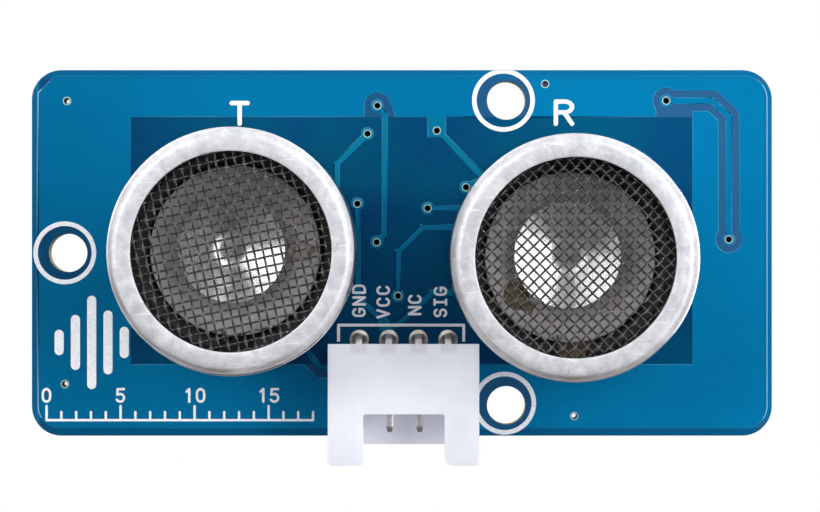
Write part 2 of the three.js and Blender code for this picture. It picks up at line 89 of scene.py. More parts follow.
# ------------------------------------------------------------------ node-based materials
class Mat:
    """A small builder for a procedural material; positions are in millimetres."""

    def __init__(self, name):
        self.m = bpy.data.materials.new(name)
        self.m.use_nodes = True
        self.t = self.m.node_tree
        self.t.nodes.clear()
        self.out = self.t.nodes.new("ShaderNodeOutputMaterial")
        self.b = self.t.nodes.new("ShaderNodeBsdfPrincipled")
        self.link(self.b.outputs[0], self.out.inputs[0])
        tc = self.t.nodes.new("ShaderNodeTexCoord")
        mp = self.t.nodes.new("ShaderNodeMapping")
        mp.inputs["Scale"].default_value = (1000, 1000, 1000)
        self.link(tc.outputs["Object"], mp.inputs["Vector"])
        self.pos = mp.outputs["Vector"]

    def link(self, a, b):
        self.t.links.new(a, b)

    def node(self, kind, **values):
        n = self.t.nodes.new(kind)
        for k, v in values.items():
            setattr(n, k, v)
        return n

    def set(self, **values):
        for k, v in values.items():
            k = k.replace("_", " ")
            names = {"Base Color": "Base Color", "Specular": "Specular IOR Level"}
            sock = self.b.inputs[names.get(k, k)]
            if hasattr(v, "is_linked") or isinstance(v, bpy.types.NodeSocket):
                self.link(v, sock)
            else:
                sock.default_value = v
        return self

    def noise(self, size, detail=3.0, rough=0.55, vector=None, distort=0.0, seed=0.0):
        n = self.node("ShaderNodeTexNoise", noise_dimensions="4D")
        self.link(vector or self.pos, n.inputs["Vector"])
        n.inputs["W"].default_value = seed
        n.inputs["Scale"].default_value = 1.0 / size
        n.inputs["Detail"].default_value = detail
        n.inputs["Roughness"].default_value = rough
        n.inputs["Distortion"].default_value = distort
        return n.outputs[0]

    def voronoi(self, size, feature="F1", vector=None, rand=1.0):
        n = self.node("ShaderNodeTexVoronoi", feature=feature)
        self.link(vector or self.pos, n.inputs["Vector"])
        n.inputs["Scale"].default_value = 1.0 / size
        n.inputs["Randomness"].default_value = rand
        return n.outputs["Distance"]

    def ramp(self, fac, stops, interp="LINEAR"):
        n = self.node("ShaderNodeValToRGB")
        n.color_ramp.interpolation = interp
        els = n.color_ramp.elements
        while len(els) < len(stops):
            els.new(0.5)
        for e, (p, c) in zip(els, stops):
            e.position = p
            e.color = (c, c, c, 1) if isinstance(c, (int, float)) else (*c[:3], 1)
        self.link(fac, n.inputs[0])
        return n.outputs[0]

    def math(self, op, a, b=None, c=None, clamp=False):
        n = self.node("ShaderNodeMath", operation=op, use_clamp=clamp)
        for i, v in enumerate((a, b, c)):
            if v is None:
                continue
            if isinstance(v, (int, float)):
                n.inputs[i].default_value = v
            else:
                self.link(v, n.inputs[i])
        return n.outputs[0]

    def mix(self, fac, a, b, blend="MIX"):
        n = self.node("ShaderNodeMix", data_type="RGBA", blend_type=blend)
        ins = [n.inputs[0], n.inputs[6], n.inputs[7]]
        for sock, v in zip(ins, (fac, a, b)):
            if isinstance(v, bpy.types.NodeSocket):
                self.link(v, sock)
            elif isinstance(v, (int, float)):
                sock.default_value = v
            else:
                sock.default_value = (*v[:3], 1)
        return n.outputs[2]

    def split(self, vector=None):
        n = self.node("ShaderNodeSeparateXYZ")
        self.link(vector or self.pos, n.inputs[0])
        return n.outputs

    def bump(self, height, distance_mm, strength=1.0, normal=None):
        n = self.node("ShaderNodeBump")
        n.inputs["Strength"].default_value = strength
        n.inputs["Distance"].default_value = distance_mm * MM
        self.link(height, n.inputs["Height"])
        if normal is not None:
            self.link(normal, n.inputs["Normal"])
        return n.outputs[0]

    def polar(self, at):
        """(radius, angle) about an axis along Y through at (X, Z), in mm."""
        s = self.split()
        x = self.math("SUBTRACT", s[0], at[0])
        z = self.math("SUBTRACT", s[2], at[1])
        r = self.math("SQRT", self.math("ADD", self.math("MULTIPLY", x, x), self.math("MULTIPLY", z, z)))
        return r, self.math("ARCTAN2", z, x)

    def vector(self, x, y, z):
        n = self.node("ShaderNodeCombineXYZ")
        for i, v in enumerate((x, y, z)):
            if isinstance(v, (int, float)):
                n.inputs[i].default_value = v
            else:
                self.link(v, n.inputs[i])
        return n.outputs[0]


def srgb(r, g, b):
    """Linear colour from an 8-bit display colour."""
    return tuple((c / 255 / 12.92) if c / 255 <= 0.04045 else ((c / 255 + 0.055) / 1.055) ** 2.4 for c in (r, g, b))


def mask_material(name, rgb, rgb2, rough=0.28, spec=0.05, window=None, edge=False, east=None):
    """Solder mask: glossy lacquer with a faint orange-peel, cloudy colour, and painted light that changes slowly across
    the board.
    """
    m = Mat(name)
    s = m.split()
    cloud = m.noise(7.0, 3.0, 0.5)
    fine = m.noise(0.35, 4.0, 0.6, seed=3.0)
    col = m.mix(m.ramp(cloud, [(0.3, 0.0), (0.7, 1.0)]), rgb, rgb2)
    # painted light: the bare lacquer is blended lighter towards the right
    if east:
        col = m.mix(m.math("MULTIPLY_ADD", s[0], 0.022, 0.5, clamp=True), col, east)
    if window:
        (x0, x1, z0, z1), teal, navy = window
        inside = m.math("MULTIPLY", m.math("LESS_THAN", m.math("ABSOLUTE", m.math("SUBTRACT", s[0], (x0 + x1) / 2)), (x1 - x0) / 2), m.math("LESS_THAN", m.math("ABSOLUTE", m.math("SUBTRACT", s[2], (z0 + z1) / 2)), (z1 - z0) / 2))
        big = m.ramp(m.noise(9.0, 2.0, 0.5, seed=14.0, distort=0.5), [(0.36, 0.0), (0.62, 1.0)])
        deep = m.mix(big, teal, navy)
        # painted shade: the middle and lower part of the window is painted a deeper navy
        down = m.ramp(m.math("MULTIPLY_ADD", s[2], -0.1, 0.7), [(0.22, 0.0), (0.42, 1.0), (1.0, 0.75)])
        deep = m.mix(down, deep, m.mix(1.0, deep, (0.97, 0.66, 0.86, 1), "MULTIPLY"))
        col = m.mix(inside, col, deep)
        rim = m.math("MAXIMUM", m.math("SUBTRACT", m.math("ABSOLUTE", s[0]), BOARD_W / 2), m.math("SUBTRACT", m.math("ABSOLUTE", s[2]), BOARD_H / 2))
        col = m.mix(m.ramp(m.math("ADD", rim, 1.0), [(0.30, 0.0), (0.62, 1.0)]), col, m.mix(m.math("LESS_THAN", s[2], -11.8), srgb(12, 115, 168), srgb(4, 95, 142)))
    speck = m.ramp(m.noise(0.09, 2.0, 0.5, seed=9.0), [(0.70, 0.0), (0.78, 1.0)])
    col = m.mix(m.math("MULTIPLY", speck, 0.12), col, tuple(min(1, c * 1.4 + 0.01) for c in rgb))
    # painted light: a brightness factor over the board, rising towards the right and very slightly towards the bottom
    depth = m.math("MULTIPLY", m.math("MULTIPLY_ADD", s[2], -0.0012, 0.684), m.math("MULTIPLY_ADD", s[0], 0.0055, 1.0))
    # painted shade: darker within about 12 mm of a spot by the left edge, a little below the middle
    dx, dz = m.math("ADD", s[0], 24.0), m.math("ADD", s[2], 3.0)
    near = m.math("SQRT", m.math("ADD", m.math("MULTIPLY", dx, dx), m.math("MULTIPLY", dz, dz)))
    depth = m.math("MULTIPLY", depth, m.ramp(m.math("MULTIPLY", near, 0.08), [(0.08, 0.86), (0.95, 1.0)], "EASE"))
    if east:
        # painted highlight: a pale line just outside the pour's left edge, strongest through the middle of that side
        painted_highlight_band = m.ramp(m.math("MULTIPLY", m.math("ABSOLUTE", s[2]), 0.08), [(0.36, 1.0), (0.66, 0.34), (0.84, 0.2)], "EASE")
        painted_highlight_band = m.math("MULTIPLY", painted_highlight_band, m.math("LESS_THAN", m.math("ABSOLUTE", m.math("ADD", s[0], 24.63)), 0.032))
        painted_highlight_band = m.math("MULTIPLY", painted_highlight_band, m.math("MULTIPLY_ADD", m.math("GREATER_THAN", s[2], 1.5), 0.4, 0.6))
        col = m.mix(m.math("MULTIPLY", painted_highlight_band, 0.75), col, srgb(150, 226, 250))
        depth = m.math("MULTIPLY", depth, m.math("MULTIPLY_ADD", painted_highlight_band, 0.45, 1.0))
    if edge:
        # the steps of the copper catch light along their level runs and less along the upright ones, least down the window's left side
        level = m.math("ABSOLUTE", m.split(m.node("ShaderNodeNewGeometry").outputs["Normal"])[2])
        shade = m.math("LESS_THAN", m.math("ABSOLUTE", m.math("ADD", s[0], 18.3)), 0.15)
        lit = m.math("MULTIPLY_ADD", level, 0.18, m.math("MULTIPLY_ADD", shade, -0.18, 0.88))
        # painted highlight: the pour's outermost steps are painted pale down the two sides, most on the left; painted
        # shade leaves them dull along the top and bottom
        sides = m.math("GREATER_THAN", m.math("ABSOLUTE", s[0]), 24.35)
        ends = m.math("GREATER_THAN", m.math("ABSOLUTE", s[2]), 11.72)
        west = m.math("LESS_THAN", s[0], -24.35)
        pale = m.math("MULTIPLY_ADD", west, 0.3, 0.6)
        col = m.mix(m.math("MULTIPLY", m.math("MULTIPLY", sides, pale), m.math("SUBTRACT", 1.0, level)), col, srgb(170, 214, 232))
        depth = m.math("MULTIPLY", depth, m.math("MULTIPLY_ADD", west, 0.25, m.math("MULTIPLY_ADD", sides, 0.3, m.math("MULTIPLY_ADD", ends, -0.12, lit))))
        spec = m.math("MULTIPLY_ADD", level, m.math("MULTIPLY_ADD", ends, -spec, spec), m.math("MULTIPLY_ADD", shade, -0.07, m.math("MULTIPLY_ADD", ends, -0.08, 0.11)))
    col = m.mix(1.0, col, m.vector(depth, depth, depth), "MULTIPLY")
    m.set(Base_Color=col, Roughness=m.math("MULTIPLY_ADD", fine, 0.16, rough - 0.08), Specular=spec)
    m.set(Normal=m.bump(m.noise(0.8, 3.0, 0.5, seed=5.0), 0.006, 0.4))
    return m.m


M_MASK_COPPER = mask_material("mask_over_copper", srgb(0, 130, 184), srgb(0, 123, 176), window=((-18.30, 19.61, -7.51, 9.17), srgb(8, 142, 178), srgb(6, 128, 170)))
M_MASK_BARE = mask_material("mask_over_laminate", srgb(22, 94, 143), srgb(18, 86, 131), window=((-18.30, 19.61, -7.51, 9.17), srgb(0, 94, 129), srgb(4, 78, 127)), east=srgb(46, 102, 149))
# the copper's edge steps use a lighter copy of the lacquer as a painted highlight
M_MASK_EDGE = mask_material("mask_over_copper_edge", srgb(20, 140, 190), srgb(30, 146, 194), 0.24, 0.3, edge=True)


def laminate_material():
    m = Mat("glass_epoxy_laminate")
    s = m.split()
    layers = m.math("SINE", m.math("MULTIPLY", s[1], 2 * math.pi / 0.2))
    fibre = m.noise(0.25, 4.0, 0.6, vector=m.vector(m.math("MULTIPLY", s[0], 0.35), m.math("MULTIPLY", s[1], 3.0), m.math("MULTIPLY", s[2], 0.35)))
    fac = m.math("MULTIPLY_ADD", layers, 0.14, m.math("MULTIPLY", fibre, 0.7), clamp=True)
    m.set(Base_Color=m.mix(fac, srgb(108, 101, 70), srgb(182, 172, 126)), Roughness=0.75, Specular=0.25)
    m.set(Normal=m.bump(fibre, 0.03, 0.8))
    return m.m


M_LAMINATE = laminate_material()


def silk_material():
    m = Mat("white_printing")
    grain = m.noise(0.12, 3.0, 0.6)
    thin = m.ramp(m.noise(0.5, 3.0, 0.6, seed=4.0), [(0.25, 0.0), (0.62, 1.0)])
    col = m.mix(m.ramp(grain, [(0.3, 0.0), (0.6, 1.0)]), srgb(224, 226, 234), srgb(251, 251, 253))
    col = m.mix(m.math("MULTIPLY", m.math("SUBTRACT", 1.0, thin), 0.5), col, srgb(224, 229, 237))
    # the printing is darker through the middle and towards the top
    print_tone = m.ramp(m.math("MULTIPLY_ADD", m.split()[2], 0.04, 0.5), [(0.05, 1.0), (0.32, 0.97), (0.5, 0.87), (0.95, 0.91)])
    m.set(Base_Color=m.mix(1.0, col, m.vector(print_tone, print_tone, print_tone), "MULTIPLY"), Roughness=0.55, Specular=0.3)
    m.set(Normal=m.bump(grain, 0.01, 0.6))
    return m.m


M_SILK = silk_material()


def metal(name, rgb, rough, var=0.08, size=0.6, bump_mm=0.004, dark=None, dark_amount=0.0, metallic=1.0, seed=0.0, aniso=0.0):
    m = Mat(name)
    n1 = m.noise(size, 5.0, 0.65, seed=seed)
    n2 = m.noise(size * 4.5, 3.0, 0.6, seed=seed + 11)
    col = m.mix(m.ramp(n2, [(0.35, 0.0), (0.68, 1.0)]), rgb, tuple(c * (1 - var) for c in rgb))
    if dark:
        col = m.mix(m.math("MULTIPLY", m.ramp(n1, [(0.5, 0.0), (0.72, 1.0)]), dark_amount), col, dark)
    m.set(Base_Color=col, Metallic=metallic, Roughness=m.math("MULTIPLY_ADD", n1, var * 2.2, max(0.03, rough - var)))
    m.set(Normal=m.bump(n1, bump_mm, 0.7))
    if aniso:
        m.set(Anisotropic=aniso)
    return m.m


def can_material(name, at, seed):
    """Drawn aluminium with a satin, mottled face: soft pits, matt patches, short handling scratches, and painted shade
    in a dark band on the lower left of the shoulder.
    """
    m = Mat(name)
    r, a = m.polar(at)
    s = m.split()
    blotch = m.noise(0.85, 5.0, 0.68, seed=seed, distort=0.5)
    grain = m.noise(0.14, 4.0, 0.7, seed=seed + 2)
    pits = m.voronoi(0.36)
    pit = m.ramp(m.math("ADD", pits, m.math("MULTIPLY", m.noise(1.3, 2.0, 0.5, seed=seed + 7), 0.6)), [(0.29, 1.0), (0.36, 0.0)])
    scratch_v = m.vector(m.math("MULTIPLY", s[0], 0.5), m.math("MULTIPLY", s[1], 2.0), m.math("MULTIPLY", s[2], 7.0))
    scratch = m.ramp(m.noise(0.9, 2.0, 0.5, vector=scratch_v, seed=seed + 5), [(0.64, 0.0), (0.69, 1.0)])
    base = m.mix(m.ramp(blotch, [(0.34, 0.0), (0.64, 1.0)]), srgb(184, 186, 192), srgb(217, 216, 220))
    base = m.mix(m.math("MULTIPLY", m.ramp(grain, [(0.5, 0.0), (0.66, 1.0)]), 0.22), base, srgb(158, 158, 164))
    base = m.mix(m.math("MULTIPLY", pit, 0.5), base, srgb(112, 108, 108))
    base = m.mix(m.math("MULTIPLY", scratch, 0.55), base, srgb(240, 240, 243))
    # drawing marks run round the side of the can
    lines = m.noise(0.14, 3.0, 0.6, vector=m.vector(m.math("MULTIPLY", a, 0.9), m.math("MULTIPLY", s[1], 2.6), 0.0), seed=seed + 9)
    side = m.math("GREATER_THAN", r, CAN_R - 0.12)
    # painted shade: a dark brownish band, streaked round the angle, on the shoulder's lower left
    low = m.math("MULTIPLY_ADD", m.math("COSINE", m.math("ADD", a, math.radians(118))), 0.75, 0.35, clamp=True)
    edge = m.ramp(m.math("SUBTRACT", r, 7.0), [(0.50, 0.0), (0.66, 1.0), (0.80, 1.0), (0.88, 0.3)])
    painted_shade_streaks = m.ramp(m.noise(0.8, 3.0, 0.6, vector=m.vector(m.math("MULTIPLY", a, 2.4), m.math("MULTIPLY", r, 3.2), 0.0), seed=seed + 12), [(0.34, 0.25), (0.60, 1.0)])
    stain_and_painted_shade = m.math("MULTIPLY", m.math("MULTIPLY", low, edge), m.math("MULTIPLY", painted_shade_streaks, m.math("LESS_THAN", s[1], -10.9)))
    base = m.mix(m.math("MULTIPLY", stain_and_painted_shade, 0.8), base, srgb(118, 102, 95))
    shoulder = m.ramp(m.math("SUBTRACT", r, 7.0), [(0.12, 0.0), (0.30, 1.0)])
    rough = m.math("MULTIPLY_ADD", blotch, 0.2, m.math("MULTIPLY_ADD", shoulder, -0.05, 0.40))
    rough = m.math("ADD", rough, m.math("MULTIPLY", pit, 0.12))
    h = m.math("ADD", m.math("MULTIPLY", blotch, 1.0), m.math("MULTIPLY", grain, 0.35))
    h = m.math("SUBTRACT", h, m.math("MULTIPLY", pit, 0.6))
    h = m.math("ADD", h, m.math("MULTIPLY", m.math("MULTIPLY", lines, side), 0.5))
    # the drawn wall is bright and mirrors the board; the pressed face is satin
    wall = m.ramp(m.math("SUBTRACT", r, 7.0), [(CAN_R - 7.0 - 0.08, 0.0), (CAN_R - 7.0 - 0.03, 1.0)])
    rough = m.math("MULTIPLY_ADD", m.math("SUBTRACT", rough, 0.11), m.math("SUBTRACT", 1.0, wall), 0.11)
    h = m.math("MULTIPLY", h, m.math("MULTIPLY_ADD", wall, -0.75, 1.0))
    m.set(Base_Color=base, Metallic=m.math("MULTIPLY_ADD", wall, 0.5, 0.45), Roughness=rough, Normal=m.bump(h, 0.035, 0.8))
    return m.m


def plain(name, rgb, rough, size=0.5, var=0.12, bump_mm=0.008, spec=0.4, seed=0.0, **extra):
    """Moulded or coated non-metal with fine texture and slight colour variation."""
    m = Mat(name)
    n1 = m.noise(size, 5.0, 0.6, seed=seed)
    n2 = m.noise(size * 6, 3.0, 0.6, seed=seed + 8)
    col = m.mix(m.ramp(n2, [(0.35, 0.0), (0.65, 1.0)]), rgb, tuple(min(1, c * (1 + var)) for c in rgb))
    m.set(Base_Color=col, Roughness=m.math("MULTIPLY_ADD", n1, 0.16, rough - 0.08), Specular=spec, Normal=m.bump(n1, bump_mm, 0.6), **extra)
    return m.m


M_BLACK = plain("black_moulding", srgb(80, 77, 77), 0.5, spec=0.35)
M_RUBBER = plain("silicone", srgb(205, 202, 192), 0.6)
M_CERAMIC = plain("fired_ceramic", srgb(176, 160, 128), 0.7, var=0.05)
M_CHIP = plain("moulded_epoxy", srgb(38, 38, 40), 0.55, size=0.12, bump_mm=0.012, spec=0.35)
M_TIN = metal("tinned_metal", srgb(205, 202, 197), 0.3, 0.1, 0.35, 0.008, dark=srgb(150, 143, 132), dark_amount=0.35)
M_SOLDER = metal("solder", srgb(200, 197, 189), 0.34, 0.12, 0.25, 0.02, dark=srgb(110, 102, 86), dark_amount=0.6, seed=4)
M_RING = metal("plated_ring", srgb(162, 204, 200), 0.45, 0.06, 0.2, 0.004, metallic=0.15, seed=6)
# painted shade: the via barrels are dark for the shade inside the holes
M_BARREL = metal("plated_barrel", srgb(74, 70, 66), 0.5, 0.08, 0.2, 0.004, metallic=0.3, seed=8)
M_LEAD = metal("tinned_lead", srgb(112, 104, 92), 0.45, 0.12, 0.2, metallic=0.7)
M_CRYSTAL = metal("nickel_lid", srgb(206, 203, 196), 0.25, 0.06, 0.4, 0.003)
M_CAP = plain("capacitor_ceramic", srgb(176, 142, 104), 0.5, size=0.2)
M_RES = plain("resistor_glaze", srgb(28, 28, 31), 0.3, size=0.3)
M_ALUMINA = plain("alumina", srgb(225, 222, 214), 0.6, size=0.2)
M_TANT = plain("amber_moulding", srgb(214, 148, 44), 0.45, size=0.25)
M_BAR = plain("polarity_bar", srgb(120, 62, 22), 0.5, size=0.25)
# painted shade: a dark disc stands in for the shade deep in each closed via
M_VIA_HOLE = plain("via_plug", srgb(12, 12, 13), 0.8, spec=0.1)
M_VIA_FILL = plain("via_resin_fill", srgb(140, 124, 182), 0.6, size=0.2)


def wire_material(name, seed):
    m = Mat(name)
    n1 = m.noise(0.13, 3.0, 0.6, seed=seed)
    n2 = m.noise(2.2, 3.0, 0.6, seed=seed + 3)
    col = m.mix(m.ramp(n2, [(0.35, 0.0), (0.65, 1.0)]), srgb(40, 37, 37), srgb(58, 54, 53))
    # painted glints: small pale specks on the wires
    painted_glint = m.ramp(m.noise(0.1, 2.0, 0.5, seed=seed + 6), [(0.66, 0.0), (0.72, 1.0)])
    col = m.mix(m.math("MULTIPLY", painted_glint, 0.75), col, srgb(196, 192, 188))
    m.set(Base_Color=col, Metallic=0.8, Roughness=m.math("MULTIPLY_ADD", n1, 0.24, 0.18), Normal=m.bump(n1, 0.014, 0.8))
    m.b.inputs["Coat Weight"].default_value = 0.35
    m.b.inputs["Coat Roughness"].default_value = 0.08
    return m.m


def nylon_material():
    m = Mat("natural_nylon")
    s = m.split()
    n1 = m.noise(0.3, 5.0, 0.6)
    n2 = m.noise(3.5, 3.0, 0.5, seed=6)
    col = m.mix(m.ramp(n2, [(0.35, 0.0), (0.7, 1.0)]), srgb(229, 230, 240), srgb(238, 239, 248))
    # painted shade: a slightly greyer patch in front of each pin's passage, where the hollow behind the thin wall shows
    # through
    for x in PIN_X:
        near = m.ramp(m.math("ABSOLUTE", m.math("SUBTRACT", s[0], x)), [(0.45, 1.0), (0.62, 0.0)])
        up = m.ramp(m.math("ADD", s[2], 7.2), [(0.45, 0.0), (0.75, 1.0)])
        col = m.mix(m.math("MULTIPLY", m.math("MULTIPLY", near, up), 0.5), col, srgb(206, 205, 216))
    # painted shade: the arms, which let more light through, are painted a shade deeper towards their ends
    ends = m.ramp(m.math("MULTIPLY", m.math("ADD", s[2], 14.1), 0.2), [(0.0, 0.86), (0.36, 0.93), (0.8, 1.0)])
    col = m.mix(1.0, col, m.vector(ends, ends, ends), "MULTIPLY")
    fleck = m.ramp(m.noise(0.16, 2.0, 0.5, seed=21), [(0.80, 0.0), (0.84, 1.0)])
    col = m.mix(m.math("MULTIPLY", fleck, 0.5), col, srgb(150, 148, 160))
    m.set(Base_Color=col, Roughness=m.math("MULTIPLY_ADD", n1, 0.14, 0.36), Specular=0.4, Normal=m.bump(n1, 0.006, 0.5))
    m.b.inputs["Subsurface Weight"].default_value = 0.3
    m.b.inputs["Subsurface Radius"].default_value = (1.0, 1.0, 1.1)
    m.b.inputs["Subsurface Scale"].default_value = 1.2 * MM
    # painted light: a faint glow lifts the inside of the mouth, standing in for light that soaks through the thin walls
    behind = m.ramp(m.math("SUBTRACT", s[1], SOCKET_LO[1]), [(0.66, 0.0), (0.80, 1.0)])
    low = m.ramp(m.math("MULTIPLY", m.math("ADD", s[2], 13.1), 0.1), [(0.06, 1.0), (0.26, 0.55), (0.40, 0.0)])
    m.b.inputs["Emission Color"].default_value = (0.90, 0.88, 1.0, 1)
    m.link(m.math("MULTIPLY", m.math("MULTIPLY", behind, low), 0.17), m.b.inputs["Emission Strength"])
    return m.m


M_NYLON = nylon_material()


def plate_material(name, at, seed):
    """Dull grey disc: turned finish and faint streaks; the adhesive smear round the middle is mixed in at zero
    strength.
    """
    m = Mat(name)
    r, a = m.polar(at)
    rings = m.noise(0.1, 2.0, 0.5, vector=m.vector(m.math("MULTIPLY", r, 1.0), 0.0, m.math("MULTIPLY", a, 0.25)), seed=seed)
    smear = m.noise(1.6, 4.0, 0.6, seed=seed + 2, distort=0.6)
    col = m.mix(m.ramp(smear, [(0.32, 0.0), (0.68, 1.0)]), srgb(216, 211, 208), srgb(244, 239, 237))
    glue = m.math("MULTIPLY", m.ramp(m.math("ADD", r, m.math("MULTIPLY", smear, 2.2)), [(0.62, 1.0), (0.98, 0.0)]), 0.0)
    col = m.mix(glue, col, srgb(120, 110, 84))
    m.set(Base_Color=col, Metallic=0.05, Roughness=m.math("MULTIPLY_ADD", smear, 0.25, 0.42), Normal=m.bump(rings, 0.006, 0.5))
    return m.m


def cone_material(name, at, seed, amount, shaded_side_amount):
    """Thin spun aluminium: bright, with fine turning rings, faint ripples and a smear of adhesive at the middle."""
    m = Mat(name)
    r, a = m.polar(at)
    rings = m.noise(0.05, 2.0, 0.5, vector=m.vector(r, 0.0, m.math("MULTIPLY", a, 0.1)), seed=seed)
    ripple = m.noise(0.8, 3.0, 0.55, seed=seed + 4, distort=0.8)
    h = m.math("ADD", m.math("MULTIPLY", rings, 0.1), ripple)
    col = m.mix(m.ramp(ripple, [(0.3, 0.0), (0.7, 1.0)]), srgb(232, 230, 230), srgb(248, 248, 248))
    stain_and_painted_shade = m.ramp(m.math("ADD", m.math("MULTIPLY", r, 0.5), m.math("MULTIPLY", m.noise(0.7, 3.0, 0.6, seed=seed + 9), 0.5)), [(0.35, 1.0), (0.75, 0.0)])
    col = m.mix(m.math("MULTIPLY", stain_and_painted_shade, amount), col, srgb(150, 138, 112))
    # painted shade: one side is painted a patchy grey, dimming its reflection
    shaded_side = m.ramp(m.math("MULTIPLY_ADD", m.math("COSINE", m.math("ADD", a, math.radians(22))), 0.5, 0.5), [(0.62, 0.0), (0.90, 1.0)])
    col = m.mix(m.math("MULTIPLY", shaded_side, m.ramp(ripple, [(0.25, shaded_side_amount * 0.6), (0.65, shaded_side_amount)])), col, srgb(128, 127, 128))
    m.set(Base_Color=col, Metallic=1.0, Roughness=m.math("MULTIPLY_ADD", ripple, 0.14, 0.20), Normal=m.bump(h, 0.022, 0.9))
    return m.m


def glue_material(name, rgb, rgb2, rough=0.3):
    """Set adhesive: uneven, slightly glossy, with small light specks."""
    m = Mat(name)
    n1 = m.noise(0.35, 4.0, 0.6, seed=2)
    speck = m.ramp(m.noise(0.12, 2.0, 0.5, seed=5), [(0.62, 0.0), (0.7, 1.0)])
    col = m.mix(m.ramp(n1, [(0.35, 0.0), (0.65, 1.0)]), rgb, rgb2)
    col = m.mix(m.math("MULTIPLY", speck, 0.5), col, tuple(min(1, c * 2.4) for c in rgb2))
    m.set(Base_Color=col, Roughness=rough, Specular=0.5, Normal=m.bump(n1, 0.03, 0.8))
    return m.m


M_GLUE = glue_material("olive_adhesive", srgb(112, 100, 70), srgb(142, 128, 92))
M_DAB = glue_material("pale_dab", srgb(176, 168, 156), srgb(206, 200, 188), 0.25)


# ------------------------------------------------------------------ making pieces
def piece(name, verts, faces, mats, smooth=None, indices=None):
    """A mesh piece on the root body; coordinates in mm. smooth: None flat, or the angle in degrees up to which edges are smoothed."""
    me = bpy.data.meshes.new(name)
    me.from_pydata([(x * MM, y * MM, z * MM) for x, y, z in verts], [], faces)
    if not isinstance(mats, (list, tuple)):
        mats = [mats]
    for m in mats:
        me.materials.append(m)
    if indices:
        me.polygons.foreach_set("material_index", indices)
    me.update()
    ob = bpy.data.objects.new(name, me)
    scene.collection.objects.link(ob)
    if smooth is not None:
        smooth_by_angle(ob, smooth)
    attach(ob, "root")
    return ob


def smooth_by_angle(ob, degrees):
    me = ob.data
    bm = bmesh.new()
    bm.from_mesh(me)
    limit = math.radians(degrees)
    for f in bm.faces:
        f.smooth = True
    for e in bm.edges:
        if len(e.link_faces) == 2:
            e.smooth = e.calc_face_angle(0) < limit
        else:
            e.smooth = False
    bm.to_mesh(me)
    bm.free()


class Bag:
    """Collects vertices and faces of several shells for one piece."""

    def __init__(self):
        self.v, self.f, self.m = [], [], []

    def add(self, verts, faces, mat=0):
        k = len(self.v)
        self.v += list(verts)
        self.f += [tuple(i + k for i in f) for f in faces]
        self.m += [mat] * len(faces)

    def make(self, name, mats, smooth=None):
        return piece(name, self.v, self.f, mats, smooth, self.m)


def lathe(profile, at, seg, wobble=None):
    """A closed profile of (radius, height in front of the board) turned about a Y axis through at. Radius 0 makes a pole."""
    verts, rows = [], []
    for i, (r, h) in enumerate(profile):
        if r <= 1e-9:
            rows.append([len(verts)])
            verts.append((at[0], -h, at[1]))
        else:
            row = []
            for k in range(seg):
                a = 2 * math.pi * k / seg
                rr, hh = r, h
                if wobble:
                    rr, hh = wobble(r, h, a, i)
                row.append(len(verts))
                verts.append((at[0] + rr * math.cos(a), -hh, at[1] + rr * math.sin(a)))
            rows.append(row)
    faces = []
    for a, b in zip(rows, rows[1:]):
        if len(a) == 1 and len(b) == 1:
            continue
        for k in range(seg):
            j = (k + 1) % seg
            if len(a) == 1:
                faces.append((a[0], b[k], b[j]))
            elif len(b) == 1:
                faces.append((a[k], b[0], a[j]))
            else:
                faces.append((a[k], b[k], b[j], a[j]))
    return verts, faces


def fix_normals(ob):
    bm = bmesh.new()
    bm.from_mesh(ob.data)
    bmesh.ops.recalc_face_normals(bm, faces=bm.faces)
    bm.to_mesh(ob.data)
    bm.free()


def circle(cx, cz, r, n=32, turn=0.0):
    return [(cx + r * math.cos(turn + 2 * math.pi * k / n), cz + r * math.sin(turn + 2 * math.pi * k / n)) for k in range(n)]


def rect(x0, x1, z0, z1):
    return [(x0, z0), (x1, z0), (x1, z1), (x0, z1)]


def rounded(x0, x1, z0, z1, radii, n=8):
    """Rounded rectangle, counter-clockwise; radii for bottom-left, bottom-right, top-right, top-left. A negative radius is a chamfer."""
    pts = []
    for (cx, cz, sx, sz, a0), r in zip(
        [(x0, z0, 1, 1, math.pi), (x1, z0, -1, 1, 1.5 * math.pi), (x1, z1, -1, -1, 0.0), (x0, z1, 1, -1, 0.5 * math.pi)], radii
    ):
        c = abs(r)
        ox, oz = cx + sx * c, cz + sz * c
        k = 1 if r < 0 else n
        for i in range(k + 1):
            a = a0 + 0.5 * math.pi * i / k
            pts.append((ox + c * math.cos(a), oz + c * math.sin(a)))
    return pts


def capsule(p, q, w, n=8):
    """Outline of a stroke of width w from p to q with round ends."""
    dx, dz = q[0] - p[0], q[1] - p[1]
    L = math.hypot(dx, dz)
    a = math.atan2(dz, dx) if L > 1e-9 else 0.0
    r = w / 2
    pts = []
    for i in range(n + 1):
        t = a - math.pi / 2 + math.pi * i / n
        pts.append((q[0] + r * math.cos(t), q[1] + r * math.sin(t)))
    for i in range(n + 1):
        t = a + math.pi / 2 + math.pi * i / n
        pts.append((p[0] + r * math.cos(t), p[1] + r * math.sin(t)))
    return pts


def strokes(tag, path, w, n=8):
    return [(tag, capsule(a, b, w, n)) for a, b in zip(path, path[1:])]


def arrangement(shapes, keep):
    """Cuts the plane up along every shape's outline and keeps the triangles whose set of tags passes keep()."""
    verts, faces, tags = [], [], []
    for tag, pts in shapes:
        area = sum(a[0] * b[1] - a[1] * b[0] for a, b in zip(pts, pts[1:] + pts[:1]))
        if area < 0:
            pts = pts[::-1]
        k = len(verts)
        verts += [Vector(p) for p in pts]
        faces.append(list(range(k, k + len(pts))))
        tags.append(tag)
    vo, _, fo, _, _, src = delaunay_2d_cdt(verts, [], faces, 1, 1e-4)
    tris = [f for f, s in zip(fo, src) if keep({tags[i] for i in s})]
    out = []
    for f in tris:
        f = list(f)
        a, b, c = (vo[i] for i in f[:3])
        if (b - a).cross(c - a) < 0:
            f = f[::-1]
        out.append(tuple(f))
    return [(v.x, v.y) for v in vo], out


